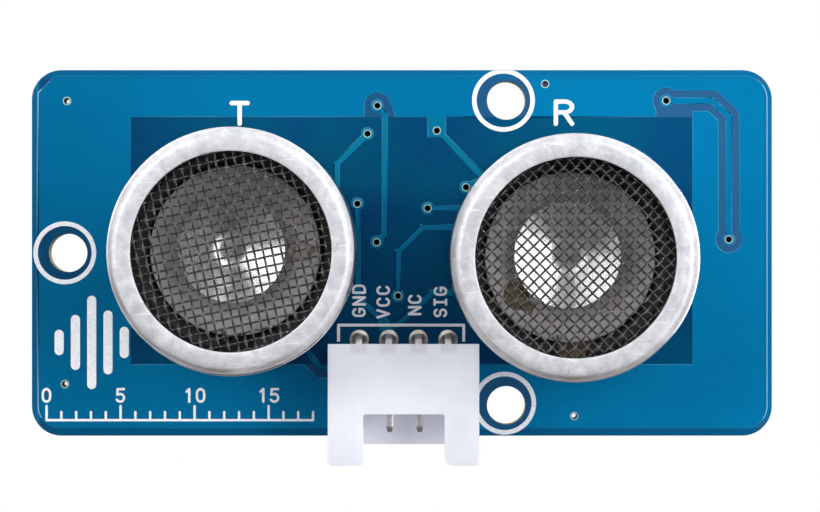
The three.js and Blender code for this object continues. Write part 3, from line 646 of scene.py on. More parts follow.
def film(bag, flat, y_face, y_foot, bevel=0.0, mat=0, side=-1, drop=None, edge=None):
    """A thin layer over a flat region. side -1 faces the viewer (-Y), +1 faces the back. Its edges get a small bevel, which can carry its own material."""
    pts, tris = flat
    used = sorted({i for t in tris for i in t})
    directed = {}
    for t in tris:
        for k in range(len(t)):
            directed[(t[k], t[(k + 1) % len(t)])] = True
    boundary = [(a, b) for a, b in directed if (b, a) not in directed]
    nx = {}
    for a, b in boundary:
        dx, dz = pts[b][0] - pts[a][0], pts[b][1] - pts[a][1]
        L = math.hypot(dx, dz) or 1e-9
        n = (-dz / L, dx / L)
        nx.setdefault(a, []).append(n)
        nx.setdefault(b, []).append(n)
    shift = {}
    for i, ns in nx.items():
        sx, sz = sum(n[0] for n in ns), sum(n[1] for n in ns)
        L2 = (sx * sx + sz * sz) or 1e-9
        k = min(len(ns) / L2 * 1.0, 2.2 / math.sqrt(L2))
        shift[i] = (pts[i][0] + sx * k * bevel, pts[i][1] + sz * k * bevel)
    y_rim = y_face - side * min(bevel if drop is None else drop, abs(y_face - y_foot) * 0.7)
    verts, top, rim, foot = [], {}, {}, {}
    for i in used:
        top[i] = len(verts)
        p = shift.get(i, pts[i])
        verts.append((p[0], y_face, p[1]))
        foot[i] = len(verts)
        verts.append((pts[i][0], y_foot, pts[i][1]))
        if i in nx and bevel > 0:
            rim[i] = len(verts)
            verts.append((pts[i][0], y_rim, pts[i][1]))
    faces, edges = [], []
    for t in tris:
        f = tuple(top[i] for i in t)
        g = tuple(foot[i] for i in t)
        faces.append(f if side < 0 else f[::-1])
        faces.append(g[::-1] if side < 0 else g)
    for a, b in boundary:
        if bevel > 0:
            slope, wall = (top[a], rim[a], rim[b], top[b]), (rim[a], foot[a], foot[b], rim[b])
            edges.append(slope if side < 0 else slope[::-1])
        else:
            wall = (top[a], foot[a], foot[b], top[b])
        faces.append(wall if side < 0 else wall[::-1])
    k = len(bag.v)
    bag.add(verts, faces, mat)
    bag.f += [tuple(i + k for i in f) for f in edges]
    bag.m += [mat if edge is None else edge] * len(edges)


def tube(path, r, sides=8, closed_ends=True, radii=None):
    """A round tube along 3-D points (mm)."""
    pts = [Vector(p) for p in path]
    verts, faces, rows = [], [], []
    up = None
    for i, p in enumerate(pts):
        d = (pts[min(i + 1, len(pts) - 1)] - pts[max(i - 1, 0)]).normalized()
        if up is None:
            up = Vector((0, -1, 0)) if abs(d.y) < 0.9 else Vector((1, 0, 0))
        u = (up - d * up.dot(d)).normalized()
        v = d.cross(u)
        up = u
        rr = radii[i] if radii else r
        row = []
        for k in range(sides):
            a = 2 * math.pi * k / sides
            row.append(len(verts))
            q = p + (u * math.cos(a) + v * math.sin(a)) * rr
            verts.append((q.x, q.y, q.z))
        rows.append(row)
    for a, b in zip(rows, rows[1:]):
        for k in range(sides):
            j = (k + 1) % sides
            faces.append((a[k], a[j], b[j], b[k]))
    if closed_ends:
        faces.append(tuple(rows[0][::-1]))
        faces.append(tuple(rows[-1]))
    return verts, faces


def ribbon(path, w, t, up=(0, 0, 1)):
    """A flat strip of width w (along up x direction) and thickness t swept along points; a lead or a pin."""
    pts = [Vector(p) for p in path]
    side = Vector(up)
    verts, faces, rows = [], [], []
    for i, p in enumerate(pts):
        d = (pts[min(i + 1, len(pts) - 1)] - pts[max(i - 1, 0)]).normalized()
        n = side.cross(d).normalized()
        e = min(w, t) * 0.16
        hw, ht = w / 2, t / 2
        sec = [(-hw, -ht + e), (-hw + e, -ht), (hw - e, -ht), (hw, -ht + e), (hw, ht - e), (hw - e, ht), (-hw + e, ht), (-hw, ht - e)]
        row = []
        for a, b in sec:
            q = p + side * a + n * b
            row.append(len(verts))
            verts.append((q.x, q.y, q.z))
        rows.append(row)
    for a, b in zip(rows, rows[1:]):
        for k in range(8):
            j = (k + 1) % 8
            faces.append((a[k], a[j], b[j], b[k]))
    faces.append(tuple(rows[0][::-1]))
    faces.append(tuple(rows[-1]))
    return verts, faces


def bend(points, radius, n=5):
    """Rounds the corners of a polyline."""
    out = [Vector(points[0])]
    for a, b, c in zip(points, points[1:], points[2:]):
        a, b, c = Vector(a), Vector(b), Vector(c)
        u, v = (a - b), (c - b)
        r = min(radius, u.length * 0.49, v.length * 0.49)
        p, q = b + u.normalized() * r, b + v.normalized() * r
        for i in range(n + 1):
            t = i / n
            out.append(p * (1 - t) ** 2 + b * 2 * t * (1 - t) + q * t * t)
    out.append(Vector(points[-1]))
    return [tuple(p) for p in out]


def solid_box(x0, x1, y0, y1, z0, z1):
    v = [(x, y, z) for x in (x0, x1) for y in (y0, y1) for z in (z0, z1)]
    f = [(0, 1, 3, 2), (4, 6, 7, 5), (0, 4, 5, 1), (2, 3, 7, 6), (0, 2, 6, 4), (1, 5, 7, 3)]
    return v, f


def temp_object(name, verts, faces):
    me = bpy.data.meshes.new(name)
    me.from_pydata([(x * MM, y * MM, z * MM) for x, y, z in verts], [], faces)
    me.update()
    ob = bpy.data.objects.new(name, me)
    scene.collection.objects.link(ob)
    fix_normals(ob)
    return ob


def apply_modifiers(ob):
    dg = bpy.context.evaluated_depsgraph_get()
    ev = ob.evaluated_get(dg)
    me = bpy.data.meshes.new_from_object(ev, preserve_all_data_layers=True, depsgraph=dg)
    old = ob.data
    ob.modifiers.clear()
    ob.data = me
    bpy.data.meshes.remove(old)


def carve(ob, cutters, operation="DIFFERENCE"):
    for c in cutters:
        mod = ob.modifiers.new("cut", "BOOLEAN")
        mod.operation = operation
        mod.solver = "EXACT"
        mod.object = c
        bpy.context.view_layer.update()
        apply_modifiers(ob)
    for c in cutters:
        me = c.data
        bpy.data.objects.remove(c)
        bpy.data.meshes.remove(me)


def bevel(ob, width_mm, segments=3, angle=35):
    mod = ob.modifiers.new("bevel", "BEVEL")
    mod.width = width_mm * MM
    mod.segments = segments
    mod.limit_method = "ANGLE"
    mod.angle_limit = math.radians(angle)
    mod.use_clamp_overlap = True
    bpy.context.view_layer.update()
    apply_modifiers(ob)


def settle(ob, mats, smooth=40):
    for m in mats if isinstance(mats, (list, tuple)) else [mats]:
        ob.data.materials.append(m)
    if smooth is not None:
        smooth_by_angle(ob, smooth)
    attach(ob, "root")
    return ob


# ------------------------------------------------------------------ a plain stroke alphabet
def arc(cx, cz, rx, rz, a0, a1, n=7):
    return [(cx + rx * math.cos(math.radians(a0 + (a1 - a0) * i / n)), cz + rz * math.sin(math.radians(a0 + (a1 - a0) * i / n))) for i in range(n + 1)]


GLYPHS = {
    "T": [[(0.0, 1.0), (0.68, 1.0)], [(0.34, 1.0), (0.34, 0.0)]],
    "R": [[(0.0, 0.0), (0.0, 1.0), (0.38, 1.0)] + arc(0.38, 0.76, 0.26, 0.24, 90, -90) + [(0.0, 0.52)], [(0.32, 0.52), (0.64, 0.0)]],
    "G": [arc(0.32, 0.68, 0.30, 0.32, 25, 180) + arc(0.32, 0.32, 0.30, 0.32, 180, 360) + [(0.62, 0.46), (0.36, 0.46)]],
    "N": [[(0.0, 0.0), (0.0, 1.0), (0.6, 0.0), (0.6, 1.0)]],
    "D": [[(0.0, 0.0), (0.0, 1.0), (0.28, 1.0)] + arc(0.28, 0.66, 0.32, 0.34, 90, 0) + arc(0.28, 0.34, 0.32, 0.34, 0, -90) + [(0.0, 0.0)]],
    "V": [[(0.0, 1.0), (0.31, 0.0), (0.62, 1.0)]],
    "C": [arc(0.32, 0.68, 0.30, 0.32, 20, 180) + arc(0.32, 0.32, 0.30, 0.32, 180, 340)],
    "S": [arc(0.31, 0.74, 0.28, 0.26, 20, 230, 8) + arc(0.31, 0.26, 0.29, 0.26, 60, -160, 8)],
    "I": [[(0.31, 0.0), (0.31, 1.0)], [(0.1, 0.0), (0.52, 0.0)], [(0.1, 1.0), (0.52, 1.0)]],
    "0": [arc(0.3, 0.66, 0.28, 0.34, 0, 180) + arc(0.3, 0.34, 0.28, 0.34, 180, 360) + [(0.58, 0.66)]],
    "1": [[(0.12, 0.8), (0.32, 1.0), (0.32, 0.0)]],
    "5": [[(0.56, 1.0), (0.08, 1.0), (0.05, 0.56), (0.3, 0.62)] + arc(0.28, 0.31, 0.3, 0.31, 70, -150, 8)],
}


def lettering(tag, text, x, z, height, width, advance, pen, turned=False):
    """Stroked text with its first glyph's foot at (x, z); turned reads upwards."""
    shapes, cursor = [], 0.0
    for ch in text:
        if ch != " ":
            for line in GLYPHS[ch]:
                path = []
                for u, v in line:
                    a, b = cursor + u * width / 0.64, v * height
                    path.append((x - b, z + a) if turned else (x + a, z + b))
                shapes += strokes(tag, path, pen, 6)
        cursor += advance
    return shapes


# ------------------------------------------------------------------ circuit board
POUR_W = 0.42
WINDOW = rect(-18.30, 19.61, -7.51, 9.17)
VIAS = [
    (-22.62, 10.26), (-22.76, -8.86), (-1.65, 9.95), (-2.32, 8.05), (2.36, 8.26), (-3.01, 3.32), (-1.71, 0.72),
    (1.74, 3.01), (-0.26, -2.91), (4.34, 4.43), (9.68, 11.41), (17.86, 10.28), (22.09, 0.91), (11.64, -11.02),
]
OPEN_VIAS = {(-22.62, 10.26), (-22.76, -8.86), (11.64, -11.02)}
VIA_R = 0.215
FRONT_TRACES = [
    ([(-1.65, 9.95), (-1.15, 9.32), (-1.15, 1.22), (-1.71, 0.72)], 0.42),
    ([(-2.32, 8.05), (-4.39, 6.05), (-4.45, 0.0)], 0.42),
    ([(-3.01, 3.32), (-3.0, -3.1), (-1.55, -4.35), (-0.98, -5.3)], 0.42),
    ([(-1.25, -4.75), (-0.88, -5.5)], 0.8),
    ([(2.70, 7.98), (5.60, 5.05), (4.34, 4.43)], 0.46),
    ([(1.74, 3.01), (4.2, 3.01)], 0.40),
    ([(-0.26, -2.91), (-0.26, 0.12), (1.37, 1.75), (4.3, 1.75)], 0.40),
    ([(-0.75, -5.2), (-0.14, -4.71), (2.01, -2.68), (4.4, -2.68)], 0.42),
    ([(17.86, 10.28), (20.97, 10.28), (22.09, 9.24), (22.09, 0.91)], 0.45),
]
TERMINALS = [(at[0], at[1] + s * 5.0) for at in (T_AT, R_AT) for s in (-1, 1)]
PINS = [(x, PIN_LEG_Z) for x in PIN_X]
OUTLINE = rounded(-BOARD_W / 2, BOARD_W / 2, -BOARD_H / 2, BOARD_H / 2, (2.0, 2.0, 2.0, 2.0), 12)

drills = [("drill", circle(x, z, HOLE_R, 48)) for x, z in HOLES]
drills += [("drill", circle(x, z, VIA_R, 20)) for x, z in VIAS]
drills += [("drill", circle(x, z, 0.45, 20)) for x, z in TERMINALS + PINS]


def board():
    flat = arrangement([("board", OUTLINE)] + drills, lambda t: "board" in t and "drill" not in t)
    core = Bag()
    film(core, flat, 0.03, BOARD_T - 0.03, 0.0)
    core.make("board_laminate", M_LAMINATE)
    front = Bag()
    film(front, flat, 0.0, 0.029, 0.012)
    front.make("board_mask_front", M_MASK_BARE)
    back = Bag()
    film(back, flat, BOARD_T, BOARD_T - 0.029, 0.012, side=1)
    return back.make("board_mask_back", M_MASK_BARE)


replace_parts(board(), "circuit_board")

# Copper under the mask on the front: a pour with a large bare window under the cans, clearances and tracks.
pour_shapes = [("pour", rounded(-24.60, 24.70, -11.86, 11.98, (1.5, 1.5, 1.55, -1.15), 10)), ("keep", WINDOW)]
pour_shapes += [("keep", circle(-1.65, 9.95, 0.875, 40)), ("keep", rect(-2.50, -0.62, 9.0, 9.9))]
pour_shapes += strokes("keep", [(-1.65, 9.95), (-1.15, 9.32), (-1.15, 8.8)], 1.24, 12)
pour_shapes += strokes("keep", [(17.86, 10.28), (20.97, 10.28), (22.09, 9.24), (22.09, 0.91)], 1.36, 12)
pour_shapes += [("keep", circle(17.86, 10.28, 0.87, 40)), ("keep", circle(22.09, 0.91, 0.87, 40)), ("keep", rect(17.20, 19.61, 8.9, 10.0))]
pour_shapes += [("keep", circle(x, z, 1.82, 48)) for x, z in ((-22.77, 0.0), (6.9, 10.3), (6.94, -10.2))]
pour_shapes += [("keep", [(-6.60, -7.51), (-5.67, -8.43), (-4.40, -8.43), (-4.40, -7.30), (-6.60, -7.30)])]
pour_shapes += strokes("copper", [(-7.57, -5.23), (-6.38, -6.67), (-5.56, -7.64), (-5.28, -7.78), (-4.55, -7.78), (PIN_X[0], -7.1), (PIN_X[0], PIN_LEG_Z)], 0.36, 10)
pour_shapes += [("copper", [(1.71, 9.3), (1.71, 7.79), (2.58, 7.79), (3.0, 8.06), (3.0, 9.3)][::-1])]
for path, w in FRONT_TRACES:
    pour_shapes += strokes("copper", path, w, 10)
pour_shapes += [("copper", circle(x, z, 0.44, 28)) for x, z in VIAS if (x, z) != (2.36, 8.26)]
pour_shapes += [("copper", circle(x, z, 0.68, 28)) for x, z in PINS]
copper = Bag()
film(
    copper,
    arrangement(pour_shapes + drills, lambda t: "drill" not in t and ("copper" in t or ("pour" in t and "keep" not in t))),
    -0.04,
    0.001,
    0.055,
    drop=0.022,
    edge=1,
)
copper.make("board_copper_front", [M_MASK_COPPER, M_MASK_EDGE])


def via_rings(name, y_face, side):
    bag = Bag()
    for x, z in VIAS:
        flat = arrangement([("a", circle(x, z, 0.285, 28)), ("b", circle(x, z, VIA_R + 0.005, 20))], lambda t: "a" in t and "b" not in t)
        film(bag, flat, y_face, y_face - side * 0.03, 0.015, side=side)
    return bag.make(name, M_RING, 30)


via_rings("via_rings_front", -0.055, -1)


def via_barrels():
    """The plated wall of each via, painted dark for the shade inside the hole; three are open, one is filled with pale
    resin and in the rest a dark disc stands in for the shade deep in the hole.
    """
    bag = Bag()
    for x, z in VIAS:
        v, f = lathe([(VIA_R - 0.005, -BOARD_T - 0.05), (VIA_R - 0.005, 0.05), (VIA_R - 0.035, 0.05), (VIA_R - 0.035, -BOARD_T - 0.05), (VIA_R - 0.005, -BOARD_T - 0.05)], (x, z), 20)
        bag.add(v, f, 0)
        if (x, z) not in OPEN_VIAS:
            v, f = lathe([(0, -0.9), (VIA_R - 0.036, -0.9), (VIA_R - 0.036, -0.25), (0, -0.25)], (x, z), 20)
            bag.add(v, f, 2 if (x, z) == (9.68, 11.41) else 1)
    ob = bag.make("via_barrels", [M_BARREL, M_VIA_HOLE, M_VIA_FILL])
    fix_normals(ob)
    smooth_by_angle(ob, 30)


via_barrels()

# White printing on the front.
silk = []
silk += lettering("silk", "T", -11.50, 8.72, 1.40, 1.02, 1.4, 0.30)
silk += lettering("silk", "R", 10.40, 8.72, 1.50, 1.10, 1.4, 0.30)
for text, x, z, adv in (("GND", PIN_X[0] + 0.37, -4.27, 0.79), ("VCC", PIN_X[1] + 0.01, -4.36, 0.79), ("NC", PIN_X[2] + 0.14, -4.14, 0.76), ("SIG", PIN_X[3] - 0.13, -4.30, 0.73)):
    silk += lettering("silk", text, x, z, 0.78, 0.50, adv, 0.17, turned=True)
silk += strokes("silk", [(-4.28, -6.3), (-4.28, -4.88), (4.18, -4.88), (4.18, -6.3)], 0.20, 6)
# a sound-level mark: five upright bars
for x, h in ((-23.15, 1.7), (-22.05, 3.7), (-20.95, 6.3), (-19.85, 4.3), (-18.75, 2.1)):
    silk += strokes("silk", [(x, -6.05 - h / 2 + 0.3), (x, -6.05 + h / 2 - 0.3)], 0.62, 10)
# a millimetre scale
silk += strokes("silk", [(-24.0, -11.30), (-6.0, -11.30)], 0.16, 6)
for k in range(19):
    h = 0.95 if k % 5 == 0 else 0.55
    silk += strokes("silk", [(-24.0 + k, -11.30), (-24.0 + k, -11.30 + h)], 0.16, 6)
for k, text in ((0, "0"), (5, "5"), (10, "10"), (15, "15")):
    silk += lettering("silk", text, -24.0 + k - 0.27 - 0.37 * (len(text) - 1), -10.05, 0.85, 0.56, 0.78, 0.17)
silk_rings = []
for x, z in ((-22.77, 0.0), (6.86, 10.3), (6.94, -10.15)):
    silk_rings += [("ring", circle(x, z, 2.125, 64)), ("inside", circle(x, z, 1.815, 64))]
clip = [("board", rounded(-BOARD_W / 2 + 0.03, BOARD_W / 2 - 0.03, -BOARD_H / 2 + 0.03, BOARD_H / 2 - 0.03, (2, 2, 2, 2), 10))]
under_socket = [("drill", rect(SOCKET_LO[0] - 0.02, SOCKET_HI[0] + 0.02, -13, -6.0))]
printing = Bag()
film(printing, arrangement(silk + clip + under_socket, lambda t: "silk" in t and "board" in t and "drill" not in t), -0.062, -0.001, 0.012)
film(
    printing,
    arrangement(silk_rings + clip + under_socket, lambda t: "ring" in t and "inside" not in t and "board" in t and "drill" not in t),
    -0.062,
    -0.001,
    0.012,
)
printing.make("board_printing_front", M_SILK)


# ------------------------------------------------------------------ transducers
def wobble_for(seed, amp):
    def wobble(r, h, a, i):
        n = noise.noise(Vector((r * math.cos(a) * 0.45 + seed, r * math.sin(a) * 0.45, h * 0.3 + seed)))
        f = noise.noise(Vector((r * math.cos(a) * 1.6 + seed, r * math.sin(a) * 1.6, h * 0.8 - seed)))
        front = max(0.0, min(1.0, (h - 9.0) / 2.5))
        d = (n * 0.7 + f * 0.3) * amp * front
        return r + d * 0.35, h + d * (1.0 if h > CAN_H - 0.7 else 0.0)

    return wobble


def can(name, at, node, seed, slide):
    R, H, wall = CAN_R, CAN_H, 0.4
    prof = [(R - wall, 0.3)]
    prof += [(R - 0.05, 0.3), (R - 0.01, 0.34), (R, 0.42), (R, 1.2), (R, 4.0), (R, 7.0), (R, 9.5)]
    fr = 0.85
    for i in range(0, 11):
        a = math.radians(90 * i / 10)
        prof.append((R - fr + fr * math.cos(a), H - 0.03 - fr + fr * math.sin(a)))
    prof += [(7.0, H - 0.012), (6.85, H - 0.004), (6.72, H - 0.01), (6.58, H - 0.02)]
    for i in range(1, 5):
        a = math.radians(90 + 90 * i / 4)
        prof.append((6.50 + 0.06 * math.cos(a), H - 0.085 + 0.06 * math.sin(a)))
    prof += [(6.44, H - 0.40), (6.47, H - 0.45), (6.6, H - 0.46), (7.25, H - 0.46), (7.42, H - 0.56), (R - wall, H - 0.85), (R - wall, 6.0), (R - wall, 0.3)]
    v, f = lathe(prof, at, 240, wobble_for(seed, 0.05))
    # the can stands very slightly out of square
    v = [(x - slide[0] * y / H, y, z - slide[1] * y / H) for x, y, z in v]
    ob = piece(name, v, f, can_material(name + "_aluminium", at, seed))
    fix_normals(ob)
    smooth_by_angle(ob, 50)
    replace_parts(ob, node)


def woven(name, at, node, angle, pitch_a, pitch_b, seed):
    """Plain-woven wire cloth: two families of crimped wires crossing over and under each other."""
    rng = random.Random(seed)
    R, h0, wire = 7.22, 11.32, 0.078
    amp = wire * 0.98
    bag = Bag()
    for fam, (ang, pitch, other) in enumerate(((angle, pitch_a, pitch_b), (angle + 90, pitch_b, pitch_a))):
        c, s = math.cos(math.radians(ang)), math.sin(math.radians(ang))
        n = int(R / pitch) + 1
        for k in range(-n, n + 1):
            off = (k + 0.5) * pitch
            if abs(off) > R - 0.1:
                continue
            jitter = rng.uniform(-0.03, 0.03)
            skew = rng.uniform(-0.004, 0.004)
            half = math.sqrt(R * R - off * off)
            steps = max(4, int(2 * half / other * 4))
            path = []
            for i in range(steps + 1):
                u = -half + 2 * half * i / steps
                phase = math.pi * (u / other + 0.5 + k)
                hh = h0 + amp * math.sin(phase) * (1 if fam == 0 else -1)
                bow = noise.noise(Vector((u * 0.25, off * 0.25, seed * 3.1 + fam))) * 0.05
                w = off + jitter + skew * u + bow
                x, z = u * c - w * s, u * s + w * c
                # the cloth is slightly domed by the can's lip
                path.append((at[0] + x, -(hh + 0.06 * (1 - (x * x + z * z) / (R * R)) - 0.03), at[1] + z))
            v, f = tube(path, wire, 6)
            bag.add(v, f)
    ob = bag.make(name, wire_material(name + "_wire", seed), 60)
    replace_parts(ob, node)


def transducer(side, at, angle, pitch_a, pitch_b, seed, flare, lean, turn, shift, slide, stain_and_painted_shade, shaded_side_amount):
    can(f"{side}_can_shell", at, f"{side}_can", seed, slide)
    woven(f"{side}_wire_cloth", (at[0] + slide[0] * 0.94, at[1] + slide[1] * 0.94), f"{side}_mesh_screen", angle, pitch_a, pitch_b, seed)
    # base: stepped black moulding with a ridge under the plate's still circle
    b = [(0, 0.02), (7.2, 0.02), (7.45, 0.12), (7.5, 0.3), (7.5, 2.9), (7.45, 3.0), (6.68, 3.0), (6.62, 3.05), (6.6, 3.15), (6.6, 4.3), (6.53, 4.4),
         (5.88, 4.4), (5.8, 4.32), (5.8, 3.1), (5.75, 3.0), (4.25, 3.0), (4.2, 3.05), (4.2, 4.36), (4.16, 4.4), (3.44, 4.4), (3.4, 4.36), (3.4, 3.05), (3.35, 3.0), (0, 3.0)]
    v, f = lathe(b, at, 96)
    ob = temp_object(f"{side}_base_moulding", v, f)
    cut = []
    for s in (-1, 1):
        cut.append(temp_object("c", *solid_box(at[0] - 1.3, at[0] + 1.3, -5.4, -3.2, at[1] + s * 6.2 - 1.0, at[1] + s * 6.2 + 1.0)))
        cv, cf = lathe([(0, -1), (0.39, -1), (0.39, 5), (0, 5)], (at[0], at[1] + s * 5.0), 20)
        cut.append(temp_object("c", cv, cf))
    carve(ob, cut)
    settle(ob, M_BLACK, 35)
    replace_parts(ob, f"{side}_base")
    # vibrating plate with a softly rounded edge
    v, f = lathe([(0, 5.18), (5.52, 5.18), (5.58, 5.21), (5.6, 5.27), (5.59, 5.35), (5.53, 5.40), (4.0, 5.402), (0, 5.402)], at, 128)
    ob = piece(f"{side}_grey_plate", v, f, plate_material(f"{side}_plate_metal", at, seed))
    fix_normals(ob)
    smooth_by_angle(ob, 40)
    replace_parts(ob, f"{side}_vibrating_plate")
    # cone: a thin spun shell whose mouth opens forward, slightly out of true
    slope = math.tan(math.radians(flare))
    root = [(0.55 + 0.75 * t, 5.56 + 0.75 * slope * t * t / 2) for t in (0, 0.2, 0.4, 0.6, 0.8, 1.0)]
    inner = [(r, root[-1][1] + (r - 1.30) * slope) for r in (3.48, 3.0, 2.5, 2.0, 1.6)] + root[::-1] + [(0.3, 5.56), (0, 5.56)]
    outer = [(0, 5.44), (0.7, 5.44)] + [(r + 0.05, h - 0.09) for r, h in root[1:]] + [(r + 0.04, h - 0.08) for r, h in inner[4:0:-1]] + [(3.49, inner[0][1] - 0.06), (3.5, inner[0][1] - 0.02)]

    def ripple(r, h, a, i):
        k = min(1.0, r / 3.5) ** 2
        d = 0.05 * noise.noise(Vector((math.cos(a) * 1.3 + seed * 2, math.sin(a) * 1.3, r * 0.4)))
        d += 0.035 * noise.noise(Vector((math.cos(a) * r * 1.1 + seed * 5, math.sin(a) * r * 1.1, 0.0)))
        return r, h + d * k

    v, f = lathe(outer + inner, at, 144, ripple)
    lean, turn = math.radians(lean), math.radians(turn)
    axis = Vector((math.sin(turn), 0, -math.cos(turn)))
    spin = Matrix.Rotation(-lean, 3, axis)
    foot = Vector((at[0], -5.44, at[1]))
    v = [tuple(foot + Vector((shift[0], 0, shift[1])) + spin @ (Vector(p) - foot)) for p in v]
    ob = piece(f"{side}_spun_cone", v, f, cone_material(f"{side}_cone_aluminium", at, seed, stain_and_painted_shade, shaded_side_amount))
    fix_normals(ob)
    smooth_by_angle(ob, 50)
    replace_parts(ob, f"{side}_cone")
    # terminals: round pins with a headed top, soldered at the back
    for which, s in (("upper", 1), ("lower", -1)):
        tx, tz = at[0], at[1] + s * 5.0
        prof = [(0, -3.1), (0.16, -3.1), (0.28, -3.02), (0.34, -2.85), (0.35, -2.6), (0.35, 3.03), (0.6, 3.04), (0.62, 3.1), (0.6, 3.3), (0.5, 3.4), (0.3, 3.43), (0, 3.43)]
        v, f = lathe(prof, (tx, tz), 24)
        ob = piece(f"{side}_terminal_pin_{which}", v, f, M_TIN)
        fix_normals(ob)
        smooth_by_angle(ob, 40)
        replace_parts(ob, f"{side}_terminal_{which}")


transducer("transmitter", T_AT, 12.0, 0.556, 0.572, 1, 28.5, 8.0, 0.0, (-0.34, 0.08), (0.08, -0.08), 0.45, 0.15)
transducer("receiver", R_AT, 45.0, 0.540, 0.545, 2, 24.0, 3.0, 165.0, (-0.17, 0.12), (0.055, -0.02), 0.2, 0.5)


def blob(bag, x, z, h0, r, height, seed, mat=0, long=1.0, turn=0.0):
    """An uneven dab of adhesive or solder standing on the height h0."""
    prof = [(0, -0.02), (r, -0.02)] + [(r * math.cos(math.radians(t)), height * math.sin(math.radians(t))) for t in (8, 22, 38, 55, 72)] + [(0, height)]
    v, f = lathe(prof, (0, 0), 28)
    out = []
    for px, py, pz in v:
        a = math.atan2(pz, px)
        k = 1 + 0.34 * noise.noise(Vector((math.cos(a) * 1.1 + seed, math.sin(a) * 1.1, 0.3)))
        b = 1 + 0.45 * noise.noise(Vector((px * 1.6 + seed, pz * 1.6, 2.0)))
        qx, qz = px * k * long, pz * k
        c, s = math.cos(turn), math.sin(turn)
        out.append((x + qx * c - qz * s, -h0 + (py * b if py < 0 else py), z + qx * s + qz * c))
    bag.add(out, f, mat)


def dabs():
    bag = Bag()
    rx, rz = R_AT
    blob(bag, rx - 3.5, rz - 2.62, 5.38, 0.78, 0.42, 3.0, 0, 1.25, math.radians(-35))
    blob(bag, rx - 2.75, rz - 3.35, 5.38, 0.42, 0.26, 5.0, 0)
    blob(bag, rx + 0.3, rz - 6.0, 4.3, 1.05, 0.5, 7.0, 0, 1.15)
    blob(bag, rx + 0.5, rz - 5.3, 4.9, 0.6, 0.3, 8.0, 0, 1.2)
    ob = bag.make("receiver_adhesive", M_GLUE)
    fix_normals(ob)
    smooth_by_angle(ob, 60)
    bag = Bag()
    tx, tz = T_AT
    blob(bag, tx + 4.5, tz - 0.05, 5.38, 0.62, 0.32, 11.0, 0, 1.3, math.radians(20))
    ob = bag.make("transmitter_dab", M_DAB)
    fix_normals(ob)
    smooth_by_angle(ob, 60)


dabs()
for side in ("transmitter", "receiver"):
    for node, m in (("silicone_bead", M_RUBBER), ("piezo_disc", M_CERAMIC), ("ceramic_lead", M_LEAD), ("plate_lead", M_LEAD)):
        ob = frame["nodes"][f"{side}_{node}"]
        ob.data.materials.clear()
        ob.data.materials.append(m)
        smooth_by_angle(ob, 45)


# ------------------------------------------------------------------ cable socket
def frustum(a, b):
    """Block between two rectangles, each (y, x0, x1, z0, z1)."""
    v = []
    for y, x0, x1, z0, z1 in (a, b):
        v += [(x0, y, z0), (x1, y, z0), (x1, y, z1), (x0, y, z1)]
    return v, [(0, 1, 2, 3), (7, 6, 5, 4), (0, 4, 5, 1), (1, 5, 6, 2), (2, 6, 7, 3), (3, 7, 4, 0)]


